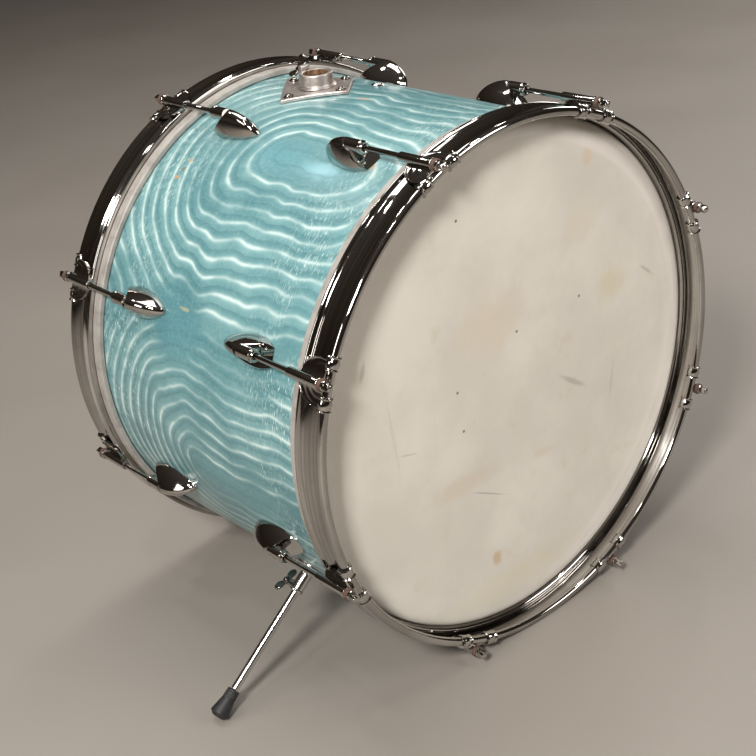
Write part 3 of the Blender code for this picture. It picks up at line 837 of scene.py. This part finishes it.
def make_rings():
    """The heads and hoops. They're made about Z and then stood along the drum, about its centre."""
    hoop, film, flesh = hoop_mesh(), film_mesh(), flesh_mesh()
    centre = Matrix.Translation(DRUM_CENTRE)
    for end, outward in (("front", -1), ("back", 1)):
        side = [moved(mesh.copy(), turn(-90 * outward, "X")) for mesh in (hoop, film, flesh)]
        piece(f"{end}_steel_hoop", side[0], centre, "hoop_plate", "hoop_chrome", "drum", f"{end}_hoop")
        piece(f"{end}_film", side[1], centre, f"head_film_{end}", "head_film", "drum", f"{end}_head")
        piece(f"{end}_flesh_hoop", side[2], centre, "flesh_hoop_metal", "head_film", "drum", f"{end}_head")


# Lug: distances are measured behind its front edge. Its flank starts steeper than a straight one would
# be, and meets the ridge leaning in more.
LUG_WIDEST = 0.0220
LUG_FRONT_SPREAD = 0.0273
LUG_HALF_WIDTH = 0.0149
LUG_CREST = 0.0240
LUG_RIDGE = 0.0061
LUG_LIP = 0.0010
LUG_SLOPE = 0.80
LUG_FERRULE = 0.0020
LUG_STEEPER = radians(21)
LUG_LEANER = radians(12)
LUG_ROWS = 60
LUG_FLANK_STEPS = 10
LUG_RIDGE_STEPS = 8
LUG_CUT_STEPS = 6


def lug_width(behind):
    """Half the casing's width at a distance behind its front edge."""
    if behind < LUG_WIDEST:
        return LUG_HALF_WIDTH * sqrt(1 - ((LUG_WIDEST - behind) / LUG_FRONT_SPREAD) ** 2)
    share = (behind - LUG_WIDEST) / (LUG_LENGTH - LUG_WIDEST)
    return LUG_HALF_WIDTH * max(0.0, 1 - share**1.8) ** 0.62


def lug_height(behind):
    """The height of the casing's ridge at a distance behind its front edge."""
    top = ROD_LIFT + LUG_RIDGE
    share = max(0.0, behind - LUG_CREST) / (LUG_LENGTH - LUG_CREST)
    return top * max(0.0, 1 - share**2) ** 0.6


def lug_section(behind):
    """One side of a cross-section: a flank that rises steeply and then leans in to a round ridge."""
    width, height = lug_width(behind), lug_height(behind)
    ridge = LUG_RIDGE * sqrt(height / lug_height(0.0))
    centre = height - ridge
    lean = atan2(width, centre) - asin(min(1.0, ridge / hypot(centre, width)))
    start, meet = max(lean - LUG_STEEPER, 0.0), lean + LUG_LEANER
    corner = Vector((ridge * cos(meet), centre + ridge * sin(meet)))
    level = (corner.x + corner.y * tan(meet) - width) / (tan(meet) - tan(start))
    foot, knee = Vector((width, 0.0)), Vector((width - level * tan(start), level))
    points = []
    for step in range(LUG_FLANK_STEPS + 1):
        share = step / LUG_FLANK_STEPS
        points.append(foot.lerp(knee, share).lerp(knee.lerp(corner, share), share))
    for step in range(1, LUG_RIDGE_STEPS + 1):
        lift = meet + (pi / 2 - meet) * step / LUG_RIDGE_STEPS
        points.append(Vector((ridge * cos(lift), centre + ridge * sin(lift))))
    return points


def cut_section(points, level):
    """The same section cut level across, with its points shared out up to the cut."""
    heights = [point.y for point in points]
    below = max(index for index, height in enumerate(heights) if height <= level)
    if below == len(points) - 1:
        return points + [points[-1]] * LUG_CUT_STEPS
    share = (level - heights[below]) / (heights[below + 1] - heights[below])
    last = below + share
    side = []
    for step in range(len(points)):
        place = last * step / (len(points) - 1)
        first = min(int(place), len(points) - 2)
        side.append(points[first].lerp(points[first + 1], place - first))
    corner = side[-1]
    dip = 0.07 * corner.x
    for step in range(1, LUG_CUT_STEPS + 1):
        share = step / LUG_CUT_STEPS
        side.append(Vector((corner.x * (1 - share), corner.y - dip * sin(pi / 2 * share))))
    return side


def lug_casing():
    """The cast casing: a long round nose, steep flanks, and a slope cut away towards the hoop."""
    rings = []
    for row in range(LUG_ROWS + 1):
        behind = LUG_LENGTH * sin(pi / 2 * row / LUG_ROWS) ** 1.15
        behind = min(behind, LUG_LENGTH - 0.00003)
        right = cut_section(lug_section(behind), LUG_LIP + LUG_SLOPE * behind)
        left = [Vector((-point.x, point.y)) for point in reversed(right[:-1])]
        rings.append([(point.x, -behind, point.y) for point in right + left])
    return lofted(rings, closed=False)


def lug_barrel():
    """The nut's round housing, with a ringed ferrule round the rod."""
    front = (0.0, -LUG_FERRULE)
    bore = (ROD_RADIUS + 0.0005, -LUG_FERRULE)
    ridge = (LUG_RIDGE + 0.00005, -LUG_FERRULE)
    profile = offsets(front, (0.0, -8.0)) + offsets(bore, (0.0, -8.0), (0.0, -0.4))
    profile += offsets(front, (4.2, 0.0), (5.2, 0.0), (5.6, -0.5), (5.6, -1.4), (5.0, -1.8), (5.0, -2.6))
    profile += offsets(front, (6.3, -3.0), (6.5, -3.6), (6.5, -4.8)) + offsets(ridge, (0.0, -5.4))
    profile += [(ridge[0], -LUG_CREST), (0.0, -LUG_CREST - 0.0010)]
    return moved(turned(profile, 40, closed=False), ALONG_Y, shift(z=ROD_LIFT))


def lug_mesh():
    """Origin on the shell under the middle of the casing's front edge. The lug lies towards -Y."""
    return smooth(joined(lug_casing(), lug_barrel()), 30)


def rod_mesh():
    """A tension rod along Y, with its collar and square head. Origin at the hoop's rim."""
    profile = offsets((0.0, COLLAR_FRONT), (0.0, 0.0), (4.0, 0.0), (4.6, -0.4))
    profile += offsets((0.0, WASHER_FRONT), (4.7, 0.3), (4.4, 0.0)) + [(ROD_RADIUS, WASHER_FRONT)]
    profile += offsets((ROD_RADIUS, ROD_INNER), (0.0, 35.0), (-0.2, 34.5), (-0.2, 0.8)) + [(0.0, ROD_INNER)]
    shaft = turned(profile, 32, closed=False)
    half = 0.0031
    head = block((-half, COLLAR_FRONT - 0.0004, -half), (half, ROD_OUTER - 0.0008, half), 0.0007)
    crown = turned(((0.0, ROD_OUTER), (0.0012, ROD_OUTER - 0.0002), (0.0026, ROD_OUTER - 0.0010)), 24, False)
    return smooth(joined(moved(shaft, ALONG_Y), head, moved(crown, ALONG_Y)))


def washer_mesh():
    """The thick fibre washer under the rod's collar."""
    section = ring(WASHER_RADIUS, ROD_RADIUS + 0.0003, WASHER_FRONT, SLEEVE_FRONT, 0.0006, 0.0006, 0, 0)
    return smooth(moved(turned(section, 32), ALONG_Y))


# Claw: half width and distance along at its web's neck and shoulder, the scoop between them, the web's
# thickness and the fillet that rises to the sleeve. The ribs are faint rings round the shoulder's middle.
CLAW_NECK = (0.0044, -0.0345)
CLAW_SHOULDER = (0.0205, -0.0090)
CLAW_SCOOP = 0.0060
CLAW_WEB = 0.0012
CLAW_FILLET = 0.0046
WEB_UNDER = -0.0008
WEB_COLUMNS = 36
RIB_PITCH = 0.0058
RIB_HEIGHT = 0.00016
# Hooks: two ringed barrels round the hoop's rolled rim.
HOOK_RADIUS = 0.0066
HOOK_HALF_WIDTH = 0.0068
HOOK_STRETCH = 1.04
HOOK_DEPTH = 0.0040
HOOK_FORWARD = 0.0022


def scoop(share):
    """A point on the concave edge of the claw's web: 0 is its neck and 1 its shoulder."""
    first, last = Vector(CLAW_NECK), Vector(CLAW_SHOULDER)
    bow = Vector((first.y - last.y, last.x - first.x)).normalized() * CLAW_SCOOP
    return first.lerp(last, share) - bow * 4 * share * (1 - share)


def web_mesh():
    """The claw's web, which sweeps up from its thin edges in a fillet against the sleeve."""
    rows = [scoop(step / 24) for step in range(25)] + [Vector((CLAW_SHOULDER[0], -HOOP_ROLL))]
    rings = []
    for half, along in rows:
        ring = []
        for column in range(WEB_COLUMNS + 1):
            x = half * sin(pi * (column / WEB_COLUMNS - 0.5))
            height = CLAW_WEB + CLAW_FILLET * exp(-abs(x) / 0.0042)
            rib = RIB_HEIGHT * cos(2 * pi * hypot(x, along - CLAW_SHOULDER[1]) / RIB_PITCH)
            rim = 0.0007 * exp(-(half - abs(x)) / 0.0009) + rib
            ring.append((x, along, height + rim))
        rings.append(ring + [(half, along, WEB_UNDER), (-half, along, WEB_UNDER)])
    return lofted(rings, closed=True)


def claw_mesh():
    """Origin on the hoop's outer surface at its rim. The claw lies towards -Y."""
    lift = ROD_CIRCLE - HOOP_RADIUS
    parts = [web_mesh(), hook_mesh(-1), hook_mesh(1)]
    sleeve = ring(
        SLEEVE_RADIUS, ROD_RADIUS + 0.0004, SLEEVE_FRONT, SLEEVE_BACK, 0.0004, 0.0005, 0.0003, 0.0003
    )
    front, back = SLEEVE_FRONT - 0.0001, SLEEVE_FRONT - 0.0026
    collar = ring(SLEEVE_RADIUS + 0.0009, ROD_RADIUS + 0.0006, front, back, 0.0005, 0.0005, 0, 0)
    parts += [moved(turned(section, 40), ALONG_Y, shift(z=lift)) for section in (sleeve, collar)]
    return smooth(joined(*parts))


def hook_mesh(side):
    """One hook: a barrel with a ring at each end, which wraps the hoop's rolled rim."""
    half = [(0.0, HOOK_HALF_WIDTH)]
    half += offsets(
        (HOOK_RADIUS, HOOK_HALF_WIDTH),
        (-1.6, -0.1), (-0.5, -0.5), (0.0, -1.2), (-0.2, -1.9), (-1.0, -2.6), (-0.8, -3.6), (-0.4, -5.2),
    )
    half.append((HOOK_RADIUS - 0.0003, 0.0))
    profile = half[:-1] + [(reach, -height) for reach, height in reversed(half)]
    knuckle = turned(profile, 40, closed=False)
    knuckle = moved(knuckle, ALONG_X, Matrix.Diagonal((1, 1, HOOK_STRETCH, 1)))
    knuckle = moved(knuckle, shift(y=HOOK_FORWARD - HOOK_RADIUS, z=-HOOK_DEPTH))
    swing = shift(z=-HOOP_RADIUS) @ Matrix.Rotation(side * HOOK_ANGLE, 4, "Y") @ shift(z=HOOP_RADIUS)
    return moved(knuckle, swing)


def make_stations():
    """Lugs, claws, washers and tension rods, all round both ends."""
    lug, rod, washer, claw = lug_mesh(), rod_mesh(), washer_mesh(), claw_mesh()
    for node, joint in JOINTS.items():
        if "tension_rod" not in node:
            continue
        outward = -1 if node.startswith("front") else 1
        label = node.replace("_tension_rod", "")
        end, number = label.split("_")
        rod_place = station_matrix(joint, outward, ROD_CIRCLE, HOOP_END)
        lug_place = station_matrix(joint, outward, SHELL_RADIUS, LUG_FACE)
        claw_place = station_matrix(joint, outward, HOOP_RADIUS, HOOP_END)
        piece(f"{end}_lug_casing_{number}", lug, lug_place, "lug_plate", "lug_chrome", "drum",
              f"{end}_lug_{number}")
        piece(f"{end}_claw_hook_{number}", claw, claw_place, "claw_plate", "claw_chrome", "drum",
              f"{end}_claw_{number}")
        piece(f"{end}_threaded_rod_{number}", rod, rod_place, "rod_plate", "rod_chrome", node, node)
        piece(f"{end}_fibre_washer_{number}", washer, rod_place, "red_fibre", "rod_chrome", node)


# Tom mount: its screws' distance from its middle, their seat above the shell, each one's turn from the
# last in degrees, and the wing screw's turn.
SCREW_REACH = 0.0370
PLATE_TOP = 0.0032
SCREW_TURN = 37
MOUNT_WING_TURN = -30


def mount_plate():
    """The cast diamond, bent round the shell, with a raised bevelled border."""
    half = MOUNT_HALF
    shape = bmesh.new()
    cells = 24
    bmesh.ops.create_grid(shape, x_segments=cells, y_segments=cells, size=half / sqrt(2))
    bmesh.ops.rotate(shape, matrix=Matrix.Rotation(pi / 4, 3, "Z"), verts=shape.verts)
    grown = bmesh.ops.extrude_face_region(shape, geom=shape.faces[:])
    top = {item for item in grown["geom"] if isinstance(item, bmesh.types.BMVert)}
    for vert in shape.verts:
        edge = half - abs(vert.co.x) - abs(vert.co.y)
        height = 0.0004
        if vert in top:
            height = 0.0040 - 0.0012 * (edge > 0.004) * min(1.0, (edge - 0.004) / 0.003)
        angle = vert.co.x / SHELL_RADIUS
        radius = SHELL_RADIUS + height
        vert.co.x = radius * sin(angle)
        vert.co.z = radius * cos(angle) - SHELL_RADIUS
    bmesh.ops.recalc_face_normals(shape, faces=shape.faces)
    return bevelled(mesh_of(shape), 0.0008, 3, 50)


def make_mount():
    """The tom mount: plate, socket ring, boss, four screws and the wing screw."""
    place = radial_matrix(0.0, SHELL_RADIUS, MOUNT_PLACE)
    top = SOCKET_TOP - SHELL_RADIUS
    ring = turned(
        rounded(
            (0.0131, top, 0.0008), (0.0170, top, 0.0012), (0.0176, 0.0060, 0.0010),
            (0.0205, 0.0030, 0.0004), (0.0131, 0.0020, 0),
        ),
        72,
    )
    boss_top = MOUNT_HIGH.z - AXIS_HEIGHT - SHELL_RADIUS - 0.0002
    boss = block((-0.0054, 0.0148, 0.0020), (0.0054, 0.0214, boss_top), 0.0016)
    base = smooth(joined(mount_plate(), ring, boss))
    piece("tom_mount_casting", base, place, "satin_cast", "cast_mount", "drum", "tom_mount_base")

    liner = [(0.0130, top - 0.0004), (0.0130, -0.0080), (0.0124, -0.0080), (0.0124, top - 0.0008)]
    liner = turned(liner, 64)
    piece("tom_mount_bore", smooth(liner), place, "rusty_bore", "cast_mount", "drum")

    screw = smooth(screw_mesh())
    for index, (across, along) in enumerate(((0.0, -1), (1, 0.0), (0.0, 1), (-1, 0.0)), 1):
        angle = across * SCREW_REACH / SHELL_RADIUS
        at = radial_matrix(angle, SHELL_RADIUS + PLATE_TOP, MOUNT_PLACE + along * SCREW_REACH)
        at = at @ turn(SCREW_TURN * index, "Z")
        piece(f"tom_mount_screw_{index}", screw, at, "dark_screw", "cast_mount", "drum")

    joint = JOINTS["tom_mount_wing_screw"]
    at = Matrix.Translation(Vector((0.0, MOUNT_PLACE, joint["pos_m"][2])))
    low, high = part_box("tom_mount_wing_screw")
    wing = wing_screw_mesh(0.0026, low.y - MOUNT_PLACE, high.y - MOUNT_PLACE, 0.0112)
    node = "tom_mount_wing_screw"
    at = at @ turn(MOUNT_WING_TURN, "Y")
    piece("tom_mount_wing", wing, at, "rod_plate", "wing_screw", node, node)


def screw_mesh():
    """A domed, slotted screw head on its washer. Origin on the face under the washer."""
    dome = [(0.0, 0.0034)]
    for step in range(1, 9):
        angle = pi / 2 * step / 8
        dome.append((0.0040 * sin(angle), 0.0008 + 0.0026 * cos(angle)))
    dome += [(0.0052, 0.0008), (0.0053, 0.0004), (0.0053, -0.0004), (0.0, -0.0004)]
    slot = block((-0.006, -0.0005, 0.0022), (0.006, 0.0005, 0.006), 0.0001)
    cutters = []
    mesh = evaluated(turned(dome, 32, closed=False), lambda holder: cutters.append(cut_out(holder, slot)))
    bpy.data.objects.remove(cutters[0])
    return mesh


def wing_screw_mesh(shaft_radius, start, end, half_span):
    """A wing screw along Y: a shaft, a waisted hub and two rounded wings with rolled rims."""
    depth = 0.0110 if half_span < 0.012 else 0.0085
    root = end - depth
    hub = (shaft_radius, root)
    profile = [(0.0, start), (shaft_radius, start + 0.0003)]
    profile += offsets(hub, (0.0, -0.6), (1.2, 0.0), (1.6, 3.0), (0.4, 5.2)) + [(0.0, root + 0.0056)]
    shaft = turned(profile, 28, closed=False)
    right = []
    for step in range(17):
        angle = -pi / 2 + pi * 1.15 * step / 16
        across = 0.60 * half_span + 0.40 * half_span * cos(angle)
        right.append((across, root + depth / 2 + depth / 2 * sin(angle)))
    outline = [(0.0, root)] + right + [(0.0, root + 0.40 * depth)]
    outline += [(-x, y) for x, y in reversed(right)]
    blade = plate(outline, -0.0012, 0.0012, 0.0008)
    return smooth(joined(moved(shaft, ALONG_Y), blade), 40)


def make_vent():
    """The vent's rolled grommet and the dark hole in it."""
    centre = (VENT_LOW + VENT_HIGH) / 2
    place = radial_matrix(polar(centre)[0], SHELL_RADIUS, centre.y)
    profile = rounded(
        (0.0033, 0.0021, 0.0008), (0.0052, 0.0021, 0.0010), (0.0069, 0.0004, 0.0003),
        (0.0069, -0.0004, 0), (0.0033, -0.0060, 0),
    )
    ring = smooth(turned(profile, 48))
    piece("vent_ring", ring, place, "claw_plate", "grommet", "drum", "vent_grommet")


# Spurs: the foot stops short of the floor by its clearance, and the wing screw is turned by degrees.
FOOT_RADIUS = 0.0096
FOOT_CLEARANCE = 0.0008
LEG_RADIUS = 0.0040
LEG_INNER = -0.0750
SPUR_WING_LIFT = 0.0228
SPUR_WING_TURN = 112


def spur_place(side):
    """Where a spur leaves the shell, with its Z along the leg, and how far out from there its foot ends."""
    axis = Vector(JOINTS[side + "_spur_leg"]["axis"])
    low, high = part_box(side + "_spur_leg")
    outer = max(abs(low.x), abs(high.x)) - FOOT_RADIUS * abs(axis.z)
    reach = outer / abs(axis.x) - SHELL_RADIUS - FOOT_CLEARANCE
    return radial_matrix(atan2(axis.x, axis.z), SHELL_RADIUS, (low.y + high.y) / 2), reach


def bracket_mesh():
    """A spun flange, the sleeve that rises from it, and the boss for the wing screw."""
    flange = turned(
        rounded(
            (0.0048, 0.0281, 0.0004), (0.0066, 0.0281, 0.0008), (0.0070, 0.0264, 0.0005),
            (0.0066, 0.0252, 0.0006), (0.0066, 0.0078, 0.0030), (0.0105, 0.0032, 0.0020),
            (0.0158, 0.0030, 0.0012), (0.0170, 0.0012, 0.0006), (0.0170, -0.0006, 0),
            (0.0048, -0.0010, 0),
        ),
        56,
    )
    boss = rounded((0.0, 0.0045, 0), (0.0, 0.0112, 0), (0.0040, 0.0112, 0.0008), (0.0042, 0.0045, 0))
    return smooth(joined(flange, moved(turned(boss, 32), ALONG_Y, shift(z=SPUR_WING_LIFT))))


def make_spurs():
    """Each side's bracket, wing screw, sliding leg and rubber foot."""
    bracket = bracket_mesh()
    wing = wing_screw_mesh(0.0024, 0.0070, 0.0240, 0.0142)
    for side in ("left", "right"):
        place, end = spur_place(side)
        profile = [
            (0.0, LEG_INNER), (LEG_RADIUS - 0.0006, LEG_INNER), (LEG_RADIUS, LEG_INNER + 0.0006),
            (LEG_RADIUS, end - 0.0270), (0.0, end - 0.0270),
        ]
        leg = turned(profile, 40, closed=False)
        body = side + "_spur_leg"
        piece(f"{side}_spur_socket", bracket, place, "leg_plate", "spur_bracket", "drum",
              f"{side}_spur_bracket")
        wing_place = place @ shift(z=SPUR_WING_LIFT) @ turn(SPUR_WING_TURN, "Y")
        piece(f"{side}_spur_wing", wing, wing_place, "dark_screw", "spur_bracket", "drum")
        piece(f"{side}_spur_rod", smooth(leg), place, "leg_plate", "spur_leg", body, body)
        piece(f"{side}_spur_foot", foot_mesh(end), place, "black_rubber", "spur_leg", body)


def foot_mesh(end):
    """A moulded rubber foot: a ribbed neck that flares to a domed tread. Its widest ring is at the end."""
    neck = end - 0.0260
    profile = [(LEG_RADIUS, neck)]
    for rib in range(3):
        groove = (0.0058 + 0.0002 * rib, neck + 0.0012 + 0.0030 * rib)
        profile += offsets(groove, (0.0, -1.0), (0.6, 0.0), (0.6, 1.0), (0.1, 1.6))
    profile += offsets((0.0, neck), (7.0, 12.5), (8.4, 19.5))
    profile += offsets((FOOT_RADIUS, end), (-0.2, -1.2), (0.0, 0.0), (-0.8, 1.0))
    profile += offsets((0.0, end), (6.0, 3.6), (3.0, 3.9), (0.0, 3.9))
    return smooth(turned(profile, 40, closed=False), 40)


# ---- stage

FIELD_OF_VIEW = radians(29.48)
CAMERA_AZIMUTH = radians(-38.97)
CAMERA_ELEVATION = radians(25.97)
CAMERA_ROLL = radians(-6.30)
CAMERA_FROM_CENTRE = Vector((-0.8779, -1.0538, 0.6189))

# Area lights that face the drum: (name, place, width and height, watts, colour).
SOFTBOXES = (
    ("key", (-2.05, -1.35, 2.1), (0.45, 0.45), 98.0, (1.0, 0.98, 0.95)),
    ("overhead", (0.2, 0.6, 2.6), (1.2, 1.2), 25.0, (1.0, 0.99, 0.97)),
    ("fill", (1.4, -2.6, 1.7), (1.2, 1.0), 31.0, (1.0, 0.97, 0.94)),
    ("back", (3.0, 0.9, 1.5), (1.0, 1.0), 26.0, (1.0, 0.98, 0.95)),
    ("side", (-2.8, 0.4, 1.5), (0.9, 0.9), 16.0, (1.0, 0.96, 0.92)),
)
# Small ceiling lights, which give the chrome its sharp highlights.
CEILING_SPOTS = ((-0.9, -0.3, 2.5), (0.9, -0.9, 2.5), (-0.4, 1.5, 2.5), (-2.0, -0.6, 2.4), (1.6, 0.8, 2.5))
SPOT_LIGHT = ((0.16, 0.16), 5.0, (1.0, 0.97, 0.92))

# The dim room that the chrome mirrors: (height from 0 below to 1 above, colour).
WORLD_STOPS = (
    (0.0, (0.050, 0.040, 0.031)),
    (0.12, (0.020, 0.015, 0.011)),
    (0.5, (0.044, 0.035, 0.027)),
    (1.0, (0.080, 0.072, 0.064)),
)
FLOOR_HALF = 9.0


def make_camera():
    """The camera looks down at the drum from its front left, leaning a little."""
    data = bpy.data.cameras.new("camera")
    data.angle = FIELD_OF_VIEW
    data.clip_start = 0.05
    camera = added("camera", data)
    place = Matrix.Translation(DRUM_CENTRE + CAMERA_FROM_CENTRE)
    around = Matrix.Rotation(CAMERA_AZIMUTH, 4, "Z")
    down = Matrix.Rotation(pi / 2 - CAMERA_ELEVATION, 4, "X")
    camera.matrix_world = place @ around @ down @ Matrix.Rotation(CAMERA_ROLL, 4, "Z")
    bpy.context.scene.camera = camera


def make_softbox(name, place, size, power, colour):
    data = bpy.data.lights.new(name, "AREA")
    data.shape = "RECTANGLE"
    data.size, data.size_y = size
    data.energy = power
    data.color = colour
    light = added(name, data)
    light.location = place
    light.rotation_euler = (DRUM_CENTRE - Vector(place)).to_track_quat("-Z", "Y").to_euler()


def make_floor():
    shape = bmesh.new()
    bmesh.ops.create_grid(shape, x_segments=1, y_segments=1, size=FLOOR_HALF)
    floor = added("floor", mesh_of(shape))
    floor.data.materials.append(floor_material())


def make_world():
    world = bpy.data.worlds.new("studio")
    bpy.context.scene.world = world
    world.use_nodes = True
    nodes, links = world.node_tree.nodes, world.node_tree.links
    place = nodes.new("ShaderNodeTexCoord")
    parts = nodes.new("ShaderNodeSeparateXYZ")
    ramp = nodes.new("ShaderNodeValToRGB")
    stops = ramp.color_ramp.elements
    stops.remove(stops[1])
    for index, (height, colour) in enumerate(WORLD_STOPS):
        stop = stops.new(height) if index else stops[0]
        stop.position = height
        stop.color = (*colour, 1.0)
    background = nodes["Background"]
    links.new(place.outputs["Generated"], parts.inputs[0])
    links.new(parts.outputs["Z"], ramp.inputs[0])
    links.new(ramp.outputs[0], background.inputs["Color"])
    background.inputs["Strength"].default_value = 1.0


def make_stage():
    """The floor, the room and the lights. The Standard view keeps the colours true."""
    make_floor()
    make_world()
    bpy.context.scene.view_settings.view_transform = "Standard"
    for softbox in SOFTBOXES:
        make_softbox(*softbox)
    for index, place in enumerate(CEILING_SPOTS):
        make_softbox(f"spot_{index}", place, *SPOT_LIGHT)


def make_materials():
    for material in (
        wrap_material, flesh_material, cast_material, rust_material, rubber_material, fibre_material
    ):
        material()
    film_material("front")
    film_material("back")
    # The hoop's haze colour also paints its darker streaks, which are partly painted dark reflection.
    hoop_haze_and_reflection, screw_haze = (0.24, 0.215, 0.19), (0.10, 0.07, 0.05)
    chrome("hoop_plate", (0.56, 0.545, 0.525), hoop_haze_and_reflection, wear=0.30, rings=0.60)
    chrome("lug_plate", wear=0.20, scale=2.0)
    chrome("claw_plate", wear=0.30, scale=3.0)
    chrome("rod_plate", wear=0.25, scale=3.0)
    chrome("leg_plate", (0.60, 0.585, 0.565), wear=0.20, scale=2.0, gloss=(0.17, 0.27))
    chrome("dark_screw", (0.30, 0.27, 0.25), screw_haze, wear=0.8, scale=3.0)


def main():
    make_materials()
    make_camera()
    make_stage()
    make_shell()
    make_rings()
    make_stations()
    make_mount()
    make_vent()
    make_spurs()


main()
